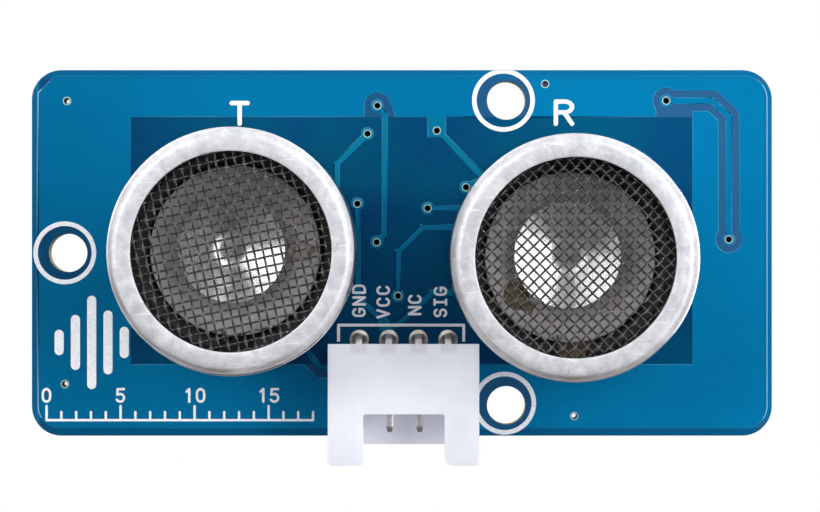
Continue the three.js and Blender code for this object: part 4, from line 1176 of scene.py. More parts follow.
def socket():
    x0, x1 = SOCKET_LO[0], SOCKET_HI[0]
    y0, y1 = SOCKET_LO[1], SOCKET_HI[1]
    z0, z1 = SOCKET_LO[2], SOCKET_HI[2]
    cx, wall = SOCKET_X, 0.78
    # block with a drafted rear face
    v, f = frustum((y0, x0, x1, z0, z1 + 0.03), (y1, x0, x1, z0, z1 - 0.10))
    ob = temp_object("socket_shell", v, f)
    arch = []
    for px, pz in rounded(cx - 2.67, cx + 2.72, z0 - 1.0, -10.67, (0.02, 0.02, 0.16, 0.16), 4):
        arch.append((px, pz))
    n = len(arch)
    av = [(px, y0 - 1, pz) for px, pz in arch] + [(px, y0 + wall + 0.1, pz) for px, pz in arch]
    af = [tuple(range(n)), tuple(range(2 * n - 1, n - 1, -1))] + [(i, (i + 1) % n, n + (i + 1) % n, n + i) for i in range(n)]
    cut = [
        temp_object("c", *solid_box(x0 + wall + 0.12, x1 - wall - 0.12, y0 + wall, y1 - wall, z0 - 1, -7.4)),
        temp_object("c", av, af),
        temp_object("c", *solid_box(cx - 3.45, cx + 3.45, y1 - wall - 0.1, y1 + 1, z0 - 1, -12.88)),
        temp_object("c", *frustum((y0 - 0.02, cx - 3.3, cx + 3.5, z0 - 1, -6.9), (y0 + 0.10, cx - 2.85, cx + 3.05, z0 - 1, -8.6))),
    ]
    # the right arm's inner corner is rounded off at its end
    r = 0.5
    corner = [(cx + 2.6, z0 - 0.1)] + [(cx + 2.72 + r - r * math.cos(t), z0 + r - r * math.sin(t)) for t in (math.radians(9 * i) for i in range(11))]
    corner = [(cx + 2.6, z0 - 0.1), (cx + 2.6, z0 + r)] + [(cx + 2.72 + r - r * math.cos(math.radians(9 * i)), z0 + r - r * math.sin(math.radians(9 * i))) for i in range(11)] + [(cx + 2.72 + r, z0 - 0.1)]
    n = len(corner)
    kv = [(px, y0 - 1, pz) for px, pz in corner] + [(px, y0 + wall + 0.1, pz) for px, pz in corner]
    kf = [tuple(range(n)), tuple(range(2 * n - 1, n - 1, -1))] + [(i, (i + 1) % n, n + (i + 1) % n, n + i) for i in range(n)]
    cut.append(temp_object("c", kv, kf))

    def round_end(side_x, into, r, depth):
        """Rounds the end of an arm at the side face side_x; into is +1 when the plastic lies at larger x."""
        rim = [(side_x - into * 0.1, z0 - 0.1), (side_x - into * 0.1, z0 + r)]
        rim += [(side_x + into * (r - r * math.cos(math.radians(10 * i))), z0 + r - r * math.sin(math.radians(10 * i))) for i in range(10)]
        rim.append((side_x + into * r, z0 - 0.1))
        n = len(rim)
        rv = [(px, y0 - 1, pz) for px, pz in rim] + [(px, depth, pz) for px, pz in rim]
        rf = [tuple(range(n)), tuple(range(2 * n - 1, n - 1, -1))] + [(i, (i + 1) % n, n + (i + 1) % n, n + i) for i in range(n)]
        ob = temp_object("c", rv, rf)
        fix_normals(ob)
        cut.append(ob)

    round_end(x0, 1, 0.24, y1 + 1)
    round_end(cx - 2.67, -1, 0.22, y0 + wall + 0.1)
    round_end(x1, -1, 0.16, y1 + 1)
    for x in PIN_X:
        cut.append(temp_object("c", *solid_box(x - 0.29, x + 0.29, -2.84, -2.26, -8, -5)))
        cut.append(temp_object("c", *solid_box(x - 0.34, x + 0.34, -2.91, 1, -6.24, -5)))
    carve(ob, cut)
    bevel(ob, 0.09, 3, 30)
    settle(ob, M_NYLON, 40)
    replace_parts(ob, "socket_housing")


socket()


def pin_material():
    """Tinned square wire: bright faces, a duller pointed tip and a leg greyed by the solder."""
    m = Mat("tinned_pin")
    s = m.split()
    n1 = m.noise(0.16, 4.0, 0.6, seed=3)
    col = m.mix(m.ramp(n1, [(0.35, 0.0), (0.65, 1.0)]), srgb(206, 204, 206), srgb(226, 224, 227))
    tip = m.ramp(m.math("SUBTRACT", s[2], PIN_TIP_Z), [(0.30, 1.0), (0.44, 0.0)])
    col = m.mix(m.math("MULTIPLY", tip, 0.8), col, srgb(112, 108, 108))
    leg = m.ramp(m.math("SUBTRACT", s[2], PIN_LEG_Z - 1.2), [(0.55, 0.0), (0.85, 1.0)])
    col = m.mix(m.math("MULTIPLY", leg, 0.55), col, srgb(140, 135, 124))
    m.set(Base_Color=col, Metallic=0.7, Roughness=m.math("MULTIPLY_ADD", n1, 0.2, 0.26), Normal=m.bump(n1, 0.01, 0.8))
    return m.m


M_PIN = pin_material()


def pins():
    for name, x in zip(("gnd", "vcc", "spare", "signal"), PIN_X):
        y = -2.55
        path = bend([(x, y, PIN_TIP_Z), (x, y, PIN_LEG_Z), (x, 2.9, PIN_LEG_Z)], 0.45, 6)
        pts = [Vector(p) for p in path]
        bag = Bag()
        verts, rows = [], []
        dense = [pts[0], pts[0] + Vector((0, 0, 0.04)), pts[0] + Vector((0, 0, 0.36)), pts[0] + Vector((0, 0, 0.44))] + pts[1:-1] + [pts[-1] - Vector((0, 0.4, 0)), pts[-1] - Vector((0, 0.1, 0)), pts[-1]]
        widths = [0.14, 0.165, 0.24, 0.25] + [0.25] * (len(pts) - 2) + [0.25, 0.19, 0.12]
        for i, p in enumerate(dense):
            d = (dense[min(i + 1, len(dense) - 1)] - dense[max(i - 1, 0)]).normalized()
            n = Vector((1, 0, 0)).cross(d).normalized()
            w = widths[i]
            e, k = w * 0.3, 0.0
            if i <= 4:
                k = 0.08
            row = []
            sec = []
            for sx, sz in ((1, -1), (1, 1), (-1, 1), (-1, -1)):
                c = [(w - e, w), (w - 0.35 * e, w - 0.27 * e), (w, w - e)]
                if sx * sz > 0:
                    c = c[::-1]
                sec += [(sx * p2, sz * q2) for p2, q2 in c]
            for a, b in sec:
                q = p + Vector((1, 0, 0)) * (a + k) + n * b
                row.append(len(verts))
                verts.append(tuple(q))
            rows.append(row)
        faces = []
        for a, b in zip(rows, rows[1:]):
            for k in range(12):
                j = (k + 1) % 12
                faces.append((a[k], a[j], b[j], b[k]))
        faces += [tuple(rows[0][::-1]), tuple(rows[-1])]
        bag.add(verts, faces)
        ob = bag.make(f"square_pin_{name}", M_PIN)
        fix_normals(ob)
        smooth_by_angle(ob, 30)
        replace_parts(ob, f"socket_pin_{name}")


pins()


def fillet_profile(r_pin, r_pad, h, n=8, power=2.1):
    """Concave solder fillet from the pad's edge up to the pin."""
    prof = []
    for i in range(n + 1):
        t = i / n
        prof.append((r_pad + (r_pin - r_pad) * t, h * (t ** power)))
    return prof


def solder(name, spots, y_face, side):
    """Annular pad with a solder fillet round each through-hole lead."""
    bag = Bag()
    rng = random.Random(5)
    for x, z, r_pin, r_pad, h in spots:
        prof = [(max(r_pin - 0.06, 0.05), -0.02), (r_pad, -0.02), (r_pad + 0.02, 0.01), (r_pad, 0.035)]
        prof += [(r, 0.045 + hh * rng.uniform(0.96, 1.04)) for r, hh in fillet_profile(r_pin, r_pad - 0.04, h, 8, 2.1 if side < 0 else 1.45)]
        prof += [(max(r_pin - 0.06, 0.05), 0.045 + h)]
        prof.append(prof[0])

        def uneven(r, hh, a, i, k=rng.uniform(0, 9)):
            if hh < 0.05:
                return r, hh
            return r, hh * (1 + 0.14 * noise.noise(Vector((math.cos(a) * 0.9 + k, math.sin(a) * 0.9, k))))

        v, f = lathe(prof, (x, z), 32, uneven)
        if side < 0:
            v = [(a, y_face + b, c) for a, b, c in v]
        else:
            v = [(a, y_face - b, c) for a, b, c in v]
        bag.add(v, f)
    ob = bag.make(name, M_SOLDER)
    fix_normals(ob)
    smooth_by_angle(ob, 50)
    return ob


solder("solder_pins_front", [(x, z, 0.27, 0.65, 0.38) for x, z in PINS], -0.04, -1)
solder("solder_pins_back", [(x, z, 0.26, 0.72, 0.75) for x, z in PINS] + [(x, z, 0.35, 0.95, 0.85) for x, z in TERMINALS], BOARD_T + 0.03, 1)


# ------------------------------------------------------------------ parts on the back of the board
BACK = BOARD_T


def placed(at, q):
    """Maps (along, across, height) of a part to the world; q turns it a quarter."""
    if q:
        return lambda u, v, h: (at[0] - v, BACK + h, at[1] + u)
    return lambda u, v, h: (at[0] + u, BACK + h, at[1] + v)


def loft(bag, rings, put, mat=0):
    """Closed body through equal-count outlines, each (t, [(a, b), ...]); put(t, a, b) gives the world point."""
    n = len(rings[0][1])
    v = [put(t, a, b) for t, pts in rings for a, b in pts]
    f = [tuple(range(n))]
    for k in range(len(rings) - 1):
        for i in range(n):
            j = (i + 1) % n
            f.append((k * n + i, (k + 1) * n + i, (k + 1) * n + j, k * n + j))
    m = (len(rings) - 1) * n
    f.append(tuple(range(m + n - 1, m - 1, -1)))
    bag.add(v, f, mat)


def ring_of(a, b, inset, corner, n=3):
    """Rounded rectangle outline of size a by b, pulled in by inset."""
    a, b = a / 2 - inset, b / 2 - inset
    c = max(0.01, min(corner, a * 0.9, b * 0.9))
    return rounded(-a, a, -b, b, (c, c, c, c), n)


def pillow(bag, put, u0, u1, v0, v1, height, nu=6, nv=8, mat=0):
    """A soft-edged patch of solder; height(s, t) with s, t in 0..1."""
    verts, idx = [], {}
    for i in range(nu + 1):
        for j in range(nv + 1):
            s, t = i / nu, j / nv
            e = (1 - abs(2 * s - 1) ** 3.0) * (1 - abs(2 * t - 1) ** 4.0)
            idx[i, j] = len(verts)
            verts.append(put(u0 + (u1 - u0) * s, v0 + (v1 - v0) * t, 0.035 + max(0.0, height(s, t)) * e ** 0.6))
    faces = [(idx[i, j], idx[i + 1, j], idx[i + 1, j + 1], idx[i, j + 1]) for i in range(nu) for j in range(nv)]
    border = [(i, 0) for i in range(nu)] + [(nu, j) for j in range(nv)] + [(i, nv) for i in range(nu, 0, -1)] + [(0, j) for j in range(nv, 0, -1)]
    low = []
    for i, j in border:
        s, t = i / nu, j / nv
        low.append(len(verts))
        verts.append(put(u0 + (u1 - u0) * s, v0 + (v1 - v0) * t, -0.01))
    n = len(border)
    for k in range(n):
        faces.append((idx[border[k]], idx[border[(k + 1) % n]], low[(k + 1) % n], low[k]))
    faces.append(tuple(low))
    bag.add(verts, faces, mat)


PADS = []  # (name, x0, x1, z0, z1)
SOLDER = Bag()
BACK_SILK = []


def pad(name, put, u0, u1, v0, v1, height):
    a, b = put(u0, v0, 0), put(u1, v1, 0)
    PADS.append((name, min(a[0], b[0]), max(a[0], b[0]), min(a[2], b[2]), max(a[2], b[2])))
    pillow(SOLDER, put, u0, u1, v0, v1, height)


def silk_line(put, pts, w=0.15):
    BACK_SILK.extend(strokes("silk", [(put(u, v, 0)[0], put(u, v, 0)[2]) for u, v in pts], w, 5))


def chip(node, at, q, l, w, h, leads, pitch, span, lead_w, mat, dimple, sides=None):
    """Moulded package with a parting line, a dimple at lead one, and gull-wing leads along its long sides."""
    put = placed(at, q)
    mid = h * 0.52
    bag = Bag()
    rings = [(0.08, ring_of(l, w, 0.17, 0.06)), (0.13, ring_of(l, w, 0.12, 0.06)), (mid - 0.02, ring_of(l, w, 0.0, 0.05)), (mid - 0.02, ring_of(l, w, -0.018, 0.05)),
             (mid + 0.02, ring_of(l, w, -0.018, 0.05)), (mid + 0.02, ring_of(l, w, 0.0, 0.05)), (h - 0.05, ring_of(l, w, 0.11, 0.07)), (h - 0.015, ring_of(l, w, 0.135, 0.08)), (h, ring_of(l, w, 0.17, 0.09))]
    loft(bag, rings, lambda t, a, b: put(a, b, t))
    ob = temp_object(node + "_body", bag.v, bag.f)
    if dimple:
        du, dv, dr = dimple
        c = put(du, dv, 0)
        prof = [(0, -h + 0.07), (dr * 0.8, -h + 0.075), (dr, -h + 0.1), (dr + 0.03, -h - 0.2), (0, -h - 0.2)]
        cv, cf = lathe([(r, hh) for r, hh in prof], (c[0], c[2]), 28)
        cv = [(x, y + BACK, z) for x, y, z in cv]
        cut = [temp_object("c", cv, cf)]
        if l > 8:
            c = put(l / 2 - 1.7, 0, 0)
            cv, cf = lathe([(0, -h + 0.02), (0.5, -h + 0.02), (0.52, -h - 0.2), (0, -h - 0.2)], (c[0], c[2]), 36)
            cut.append(temp_object("c", [(x, y + BACK, z) for x, y, z in cv], cf))
        carve(ob, cut)
    settle(ob, mat, 30)
    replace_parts(ob, node)
    legs = Bag()
    knee = w / 2 + (span / 2 - w / 2) * 0.40
    along = (0, 0, 1) if q else (1, 0, 0)
    if sides is None:
        per = leads // 2
        sides = [(sgn, (i - (per - 1) / 2) * pitch) for sgn in (-1, 1) for i in range(per)]
    for k, (sgn, u) in enumerate(sides):
        path = bend([put(u, sgn * (w / 2 - 0.1), mid), put(u, sgn * knee, mid), put(u, sgn * (knee + 0.1), 0.115), put(u, sgn * span / 2, 0.11)], 0.22, 4)
        v, f = ribbon(path, lead_w, 0.15, along)
        legs.add(v, f)
        v0, v1 = sgn * (knee - 0.02), sgn * (span / 2 + 0.42)
        toe = (span / 2 - knee + 0.02) / (span / 2 + 0.44 - knee)

        def height(s, t, toe=toe):
            return 0.05 + 0.16 * max(0.0, 1 - abs(t - toe) / 0.32) ** 1.6

        pad(f"{node}.{k}", put, u - lead_w / 2 - 0.045, u + lead_w / 2 + 0.045, v0, v1, height)
    ob = legs.make(node + "_leads", M_TIN)
    fix_normals(ob)
    smooth_by_angle(ob, 40)
    e = 0.16
    a, b = l / 2 + e, w / 2 - 0.25
    silk_line(put, [(-a, b), (-a, -b)])
    silk_line(put, [(a, b), (a, -b)])
    silk_line(put, [(-a, b), (-a + 0.55, b)])
    silk_line(put, [(-a, -b), (-a + 0.55, -b)])
    c = put(-a - 0.1, -(w / 2 + 0.55), 0)
    BACK_SILK.append(("silk", circle(c[0], c[2], 0.24, 20)))


def chip_part(node, at, q, kind):
    """Small two-terminal part: rounded body with metal end caps and solder fillets."""
    put = placed(at, q)
    l, w, h, cap = 1.6, 0.8, (0.8 if kind == "capacitor" else 0.45), (0.34 if kind == "capacitor" else 0.3)
    body, glaze, metal_i = 0, 1, 2
    bag = Bag()
    loft(bag, [(0.05, ring_of(l - 0.08, w - 0.04, 0.05, 0.06)), (0.09, ring_of(l - 0.08, w - 0.04, 0.0, 0.05)), (h - 0.08, ring_of(l - 0.08, w - 0.04, 0.0, 0.05)), (h - 0.03, ring_of(l - 0.08, w - 0.04, 0.05, 0.06))],
         lambda t, a, b: put(a, b, t), body)
    if kind == "resistor":
        loft(bag, [(h - 0.04, ring_of(l - 2 * cap + 0.06, w - 0.1, 0.0, 0.06)), (h - 0.012, ring_of(l - 2 * cap + 0.06, w - 0.1, 0.0, 0.06)), (h, ring_of(l - 2 * cap + 0.06, w - 0.1, 0.04, 0.05))],
             lambda t, a, b: put(a, b, t), glaze)
    for sgn in (-1, 1):
        rings = []
        for u, inset in ((l / 2 - cap, 0.035), (l / 2 - cap, 0.012), (l / 2 - cap + 0.04, 0.0), (l / 2 - 0.05, 0.0), (l / 2 - 0.015, 0.02), (l / 2, 0.06)):
            rings.append((sgn * u, [(a, b + h / 2 + 0.015) for a, b in ring_of(w, h - 0.03, inset, 0.08)]))
        loft(bag, rings, lambda t, a, b: put(t, a, b), metal_i)

        def height(s, t, sgn=sgn):
            s = s if sgn > 0 else 1 - s
            return 0.05 + 0.30 * h / 0.8 * max(0.0, 1 - abs(s - 0.42) / 0.5) ** 1.8

        u0, u1 = sorted((sgn * (l / 2 - cap - 0.1), sgn * (l / 2 + 0.42)))
        pad(f"{node}.{0 if sgn < 0 else 1}", put, u0, u1, -w / 2 - 0.07, w / 2 + 0.07, height)
    ob = bag.make(node + "_chip", [M_CAP if kind == "capacitor" else M_ALUMINA, M_RES, M_TIN])
    fix_normals(ob)
    smooth_by_angle(ob, 35)
    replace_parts(ob, node)
    b = w / 2 + 0.27
    silk_line(put, [(-0.5, b), (0.5, b)])
    silk_line(put, [(-0.5, -b), (0.5, -b)])


def crystal(node, at):
    put = placed(at, 0)
    bag = Bag()
    base = ring_of(5.0, 3.2, 0.0, 0.22)
    loft(bag, [(0.03, ring_of(5.0, 3.2, 0.03, 0.2)), (0.06, base), (0.36, base), (0.40, ring_of(5.0, 3.2, 0.03, 0.2))], lambda t, a, b: put(a, b, t), 0)
    loft(bag, [(0.36, ring_of(4.72, 2.92, 0.0, 0.45, 6)), (0.46, ring_of(4.72, 2.92, 0.0, 0.45, 6)), (0.50, ring_of(4.72, 2.92, 0.05, 0.45, 6)), (0.52, ring_of(4.5, 2.7, 0.0, 0.5, 6)), (0.84, ring_of(4.5, 2.7, 0.01, 0.5, 6)),
               (0.91, ring_of(4.5, 2.7, 0.05, 0.5, 6)), (0.94, ring_of(4.5, 2.7, 0.12, 0.5, 6)), (0.95, ring_of(4.5, 2.7, 0.25, 0.5, 6))], lambda t, a, b: put(a, b, t), 1)
    ob = bag.make(node + "_package", [M_BLACK, M_CRYSTAL])
    fix_normals(ob)
    smooth_by_angle(ob, 35)
    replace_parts(ob, node)
    k = 0
    for u in (-1, 1):
        for v in (-1, 1):
            u0, u1 = sorted((u * 1.35, u * 2.78))
            v0, v1 = sorted((v * 0.55, v * 1.85))
            pad(f"{node}.{k}", put, u0, u1, v0, v1, lambda s, t: 0.10)
            k += 1
    silk_line(put, [(-0.9, 1.85), (0.9, 1.85)])
    silk_line(put, [(-0.9, -1.85), (0.9, -1.85)])
    silk_line(put, [(-3.0, -0.35), (-3.0, 0.35)])
    silk_line(put, [(3.0, -0.35), (3.0, 0.35)])


def supply_capacitor(node, at):
    put = placed(at, 0)
    l, w, h = 3.5, 2.8, 1.9
    bag = Bag()
    rings = [(0.12, ring_of(l - 0.3, w, 0.10, 0.08)), (0.16, ring_of(l - 0.3, w, 0.06, 0.1)), (0.88, ring_of(l - 0.3, w, 0.0, 0.1)), (0.88, ring_of(l - 0.3, w, -0.015, 0.1)), (0.93, ring_of(l - 0.3, w, -0.015, 0.1)), (0.93, ring_of(l - 0.3, w, 0.0, 0.1)),
             (h - 0.06, ring_of(l - 0.3, w, 0.09, 0.12)), (h - 0.02, ring_of(l - 0.3, w, 0.12, 0.12)), (h - 0.01, ring_of(l - 0.3, w, 0.18, 0.12))]
    loft(bag, rings, lambda t, a, b: put(a, b, t), 0)
    bar = rounded(-1.36, -0.92, -1.2, 1.2, (0.05, 0.05, 0.05, 0.05), 3)
    loft(bag, [(h - 0.03, bar), (h, bar)], lambda t, a, b: put(a, b, t), 1)
    for sgn in (-1, 1):
        path = bend([put(sgn * 1.52, 0, 0.90), put(sgn * 1.68, 0, 0.90), put(sgn * 1.68, 0, 0.09), put(sgn * 0.95, 0, 0.09)], 0.14, 4)
        v, f = ribbon(path, 2.2, 0.13, (0, 0, 1))
        bag.add(v, f, 2)
        u0, u1 = sorted((sgn * 0.95, sgn * 2.35))

        def height(s, t, sgn=sgn):
            s = s if sgn > 0 else 1 - s
            return 0.06 + 0.42 * max(0.0, 1 - abs(s - 0.56) / 0.42) ** 1.7

        pad(f"{node}.{0 if sgn < 0 else 1}", put, u0, u1, -1.25, 1.25, height)
    ob = bag.make(node + "_block", [M_TANT, M_BAR, M_TIN])
    fix_normals(ob)
    smooth_by_angle(ob, 35)
    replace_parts(ob, node)
    for sgn in (-1, 1):
        silk_line(put, [(-1.8, sgn * 1.62), (1.8, sgn * 1.62)])
    silk_line(put, [(-2.95, -0.3), (-2.95, 0.3)], 0.18)
    silk_line(put, [(-3.25, 0.0), (-2.65, 0.0)], 0.18)


chip("controller_chip", (0.4, 2.2), 0, 7.2, 5.3, 1.75, 20, 0.65, 7.8, 0.24, M_CHIP, (-3.0, -1.9, 0.34))
chip("transmit_driver_chip", (-16.6, 0.0), 1, 9.9, 3.9, 1.6, 16, 1.27, 6.0, 0.41, M_CHIP, (-4.3, -1.2, 0.42))
chip("receive_amplifier_chip", (17.0, 0.2), 1, 8.65, 3.9, 1.6, 14, 1.27, 6.0, 0.41, M_CHIP, (-3.7, -1.2, 0.42))
for node, x in (("drive_transistor_1", -15.2), ("drive_transistor_2", -19.6)):
    lo, hi = mm_box(node)
    chip(node, (x, 8.6), 0, 2.9, 1.3, 1.0, 3, 0.95, hi[2] - lo[2], 0.40, M_CHIP, None, sides=[(-1, -0.95), (-1, 0.95), (1, 0.0)])
crystal("crystal", (-0.6, 9.2))
supply_capacitor("supply_capacitor", (-7.6, -9.2))
for i, (x, z, q) in enumerate([(-5.6, 9.2, 1), (3.6, 9.2, 1), (-7.0, 3.4, 1), (6.8, 3.4, 1), (13.2, 8.6, 0), (20.6, 6.6, 1), (13.4, -8.6, 0), (-12.0, -9.2, 1)]):
    chip_part(f"capacitor_{i + 1}", (x, z), q, "capacitor")
for i, (x, z, q) in enumerate([(-7.0, 0.4, 1), (6.8, 0.4, 1), (16.0, 8.6, 0), (18.4, 8.6, 0), (16.2, -8.6, 0), (19.0, -8.6, 0), (21.4, -5.4, 1), (-14.4, -9.2, 1), (-16.8, -9.2, 1), (-19.2, -9.2, 1)]):
    chip_part(f"resistor_{i + 1}", (x, z), q, "resistor")
ob = SOLDER.make("solder_back_parts", M_SOLDER)
fix_normals(ob)
smooth_by_angle(ob, 60)

for i, (x, z) in enumerate(VIAS):
    PADS.append((f"via.{i}", x - 0.3, x + 0.3, z - 0.3, z + 0.3))
for i, (x, z) in enumerate(TERMINALS):
    PADS.append((f"terminal.{i}", x - 0.95, x + 0.95, z - 0.95, z + 0.95))
for i, (x, z) in enumerate(PINS):
    PADS.append((f"pin.{i}", x - 0.72, x + 0.72, z - 0.72, z + 0.72))

# Which pads are joined by tracks on the back; the rest that carry ground sit in the pour.
NETS = [
    ("controller_chip.15", "crystal.2"), ("crystal.1", "capacitor_1.0"), ("crystal.2", "capacitor_2.0"),
    ("controller_chip.10", "capacitor_3.1"), ("controller_chip.19", "capacitor_4.1"), ("controller_chip.0", "resistor_1.0"), ("controller_chip.9", "resistor_2.0"),
    ("controller_chip.8", "pin.3"), ("controller_chip.4", "via.8"), ("controller_chip.7", "pin.2"), ("controller_chip.6", "pin.1"),
    ("controller_chip.12", "via.5"), ("controller_chip.17", "via.9"), ("controller_chip.18", "via.7"), ("controller_chip.2", "transmit_driver_chip.0"),
    ("controller_chip.1", "transmit_driver_chip.1"), ("capacitor_3.0", "transmit_driver_chip.5"), ("resistor_1.1", "transmit_driver_chip.3"),
    ("transmit_driver_chip.7", "terminal.1"), ("transmit_driver_chip.2", "terminal.0"), ("transmit_driver_chip.6", "drive_transistor_1.1"),
    ("transmit_driver_chip.15", "drive_transistor_2.0"), ("drive_transistor_1.0", "drive_transistor_2.1"), ("drive_transistor_1.2", "capacitor_1.1"),
    ("supply_capacitor.1", "pin.1"), ("supply_capacitor.0", "capacitor_8.0"),
    ("resistor_9.1", "transmit_driver_chip.8"), ("resistor_10.1", "transmit_driver_chip.9"), ("resistor_8.0", "resistor_9.0"),
    ("terminal.3", "receive_amplifier_chip.12"), ("terminal.2", "receive_amplifier_chip.8"), ("receive_amplifier_chip.13", "capacitor_5.0"), ("capacitor_5.1", "resistor_3.0"),
    ("resistor_3.1", "resistor_4.0"), ("receive_amplifier_chip.6", "capacitor_6.0"), ("resistor_4.1", "capacitor_6.1"), ("receive_amplifier_chip.7", "capacitor_7.1"),
    ("capacitor_7.1", "resistor_5.0"), ("resistor_5.1", "resistor_6.0"), ("resistor_6.1", "resistor_7.0"), ("receive_amplifier_chip.0", "resistor_7.1"),
    ("receive_amplifier_chip.9", "resistor_2.1"), ("receive_amplifier_chip.3", "via.12"), ("via.11", "receive_amplifier_chip.5"),
    ("via.10", "capacitor_5.0"), ("via.2", "crystal.3"), ("via.1", "crystal.1"),
]


def route_all():
    """Finds a clear path for each net on a 0.2 mm grid: straight and diagonal runs that keep off other pads, holes and tracks."""
    import heapq

    step, hx, hz = 0.2, 24.2, 11.7
    nx, nz = int(2 * hx / step) + 1, int(2 * hz / step) + 1
    owner = [0] * (nx * nz)

    def cell(x, z):
        return int(round((x + hx) / step)), int(round((z + hz) / step))

    def claim(x0, x1, z0, z1, who, test=None):
        i0, k0 = cell(x0, z0)
        i1, k1 = cell(x1, z1)
        for i in range(max(0, i0), min(nx, i1 + 1)):
            for k in range(max(0, k0), min(nz, k1 + 1)):
                x, z = i * step - hx, k * step - hz
                if not (x0 <= x <= x1 and z0 <= z <= z1) or (test and not test(x, z)):
                    continue
                c = i * nz + k
                owner[c] = who if owner[c] in (0, who) else -1

    gap = 0.27
    for n, (name, x0, x1, z0, z1) in enumerate(PADS):
        claim(x0 - gap, x1 + gap, z0 - gap, z1 + gap, n + 1)
    for x, z in HOLES:
        claim(x - 2.2, x + 2.2, z - 2.2, z + 2.2, -1, lambda a, b: math.hypot(a - x, b - z) < 2.15)
    index = {p[0]: n for n, p in enumerate(PADS)}
    moves = [(1, 0), (1, 1), (0, 1), (-1, 1), (-1, 0), (-1, -1), (0, -1), (1, -1)]
    paths = []
    for a, b in NETS:
        na, nb = index[a], index[b]
        own = {0, na + 1, nb + 1}
        pa, pb = PADS[na], PADS[nb]
        start = cell((pa[1] + pa[2]) / 2, (pa[3] + pa[4]) / 2)
        goal = cell((pb[1] + pb[2]) / 2, (pb[3] + pb[4]) / 2)

        def ahead(i, k):
            dx, dz = abs(i - goal[0]), abs(k - goal[1])
            return max(dx, dz) + 0.414 * min(dx, dz)

        best, came = {(start[0], start[1], -1): 0.0}, {}
        heap = [(ahead(*start), 0, start[0], start[1], -1)]
        count, found = 0, None
        while heap and count < 60000:
            _, _, i, k, d = heapq.heappop(heap)
            g = best[(i, k, d)]
            if (i, k) == goal:
                found = (i, k, d)
                break
            count += 1
            for m, (di, dk) in enumerate(moves):
                if d >= 0:
                    t = min((m - d) % 8, (d - m) % 8)
                    if t > 1:
                        continue
                else:
                    t = 0
                i2, k2 = i + di, k + dk
                if not (0 <= i2 < nx and 0 <= k2 < nz) or owner[i2 * nz + k2] not in own:
                    continue
                g2 = g + (1.414 if di and dk else 1.0) + (0.9 if t else 0.0)
                key = (i2, k2, m)
                if g2 < best.get(key, 1e9) - 1e-9:
                    best[key] = g2
                    came[key] = (i, k, d)
                    heapq.heappush(heap, (g2 + ahead(i2, k2), count * 8 + m, i2, k2, m))
        if not found:
            continue
        pts, at = [], found
        while at is not None:
            pts.append((at[0] * step - hx, at[1] * step - hz))
            at = came.get(at)
        pts = pts[::-1]
        for x, z in pts:
            claim(x - 0.4, x + 0.4, z - 0.4, z + 0.4, -1, lambda c, d: owner[cell(c, d)[0] * nz + cell(c, d)[1]] not in (na + 1, nb + 1))
        clean = [pts[0]]
        for p, q, r in zip(pts, pts[1:], pts[2:]):
            if abs((q[0] - p[0]) - (r[0] - q[0])) > 1e-6 or abs((q[1] - p[1]) - (r[1] - q[1])) > 1e-6:
                clean.append(q)
        clean.append(pts[-1])
        paths.append((a, b, clean))
    return paths


ROUTES = route_all()


def back_layers():
    joined = {n for a, b, _ in ROUTES for n in (a, b)}
    shapes = [("pour", rounded(-24.6, 24.6, -11.95, 11.95, (1.6, 1.6, 1.6, 1.6), 8))]
    shapes += [("keep", circle(x, z, 1.95, 40)) for x, z in HOLES]
    for name, x0, x1, z0, z1 in PADS:
        if name not in joined:
            continue
        if name.split(".")[0] in ("via", "terminal", "pin"):
            r = (x1 - x0) / 2
            shapes.append(("keep", circle((x0 + x1) / 2, (z0 + z1) / 2, r + 0.26, 24)))
            shapes.append(("copper", circle((x0 + x1) / 2, (z0 + z1) / 2, r + 0.06, 24)))
        else:
            shapes.append(("keep", rect(x0 - 0.24, x1 + 0.24, z0 - 0.24, z1 + 0.24)))
            shapes.append(("copper", rect(x0 - 0.04, x1 + 0.04, z0 - 0.04, z1 + 0.04)))
    for _, _, path in ROUTES:
        shapes += strokes("keep", path, 0.72, 4)
        shapes += strokes("copper", path, 0.26, 4)
    bag = Bag()
    flat = arrangement(shapes + drills, lambda t: "drill" not in t and ("copper" in t or ("pour" in t and "keep" not in t)))
    film(bag, flat, BACK + 0.04, BACK - 0.001, 0.05, drop=0.022, side=1, edge=1)
    bag.make("board_copper_back", [M_MASK_COPPER, M_MASK_EDGE])
    bag = Bag()
    off = [("drill", rect(x0 - 0.1, x1 + 0.1, z0 - 0.1, z1 + 0.1)) for _, x0, x1, z0, z1 in PADS]
    rings = []
    for x, z in HOLES:
        rings += [("silk", circle(x, z, 2.14, 48)), ("drill", circle(x, z, 1.84, 48))]
    flat = arrangement(BACK_SILK + rings + off + clip, lambda t: "silk" in t and "board" in t and "drill" not in t)
    film(bag, flat, BACK + 0.056, BACK - 0.001, 0.012, side=1)
    bag.make("board_printing_back", M_SILK)


back_layers()
via_rings("via_rings_back", BACK + 0.055, 1)


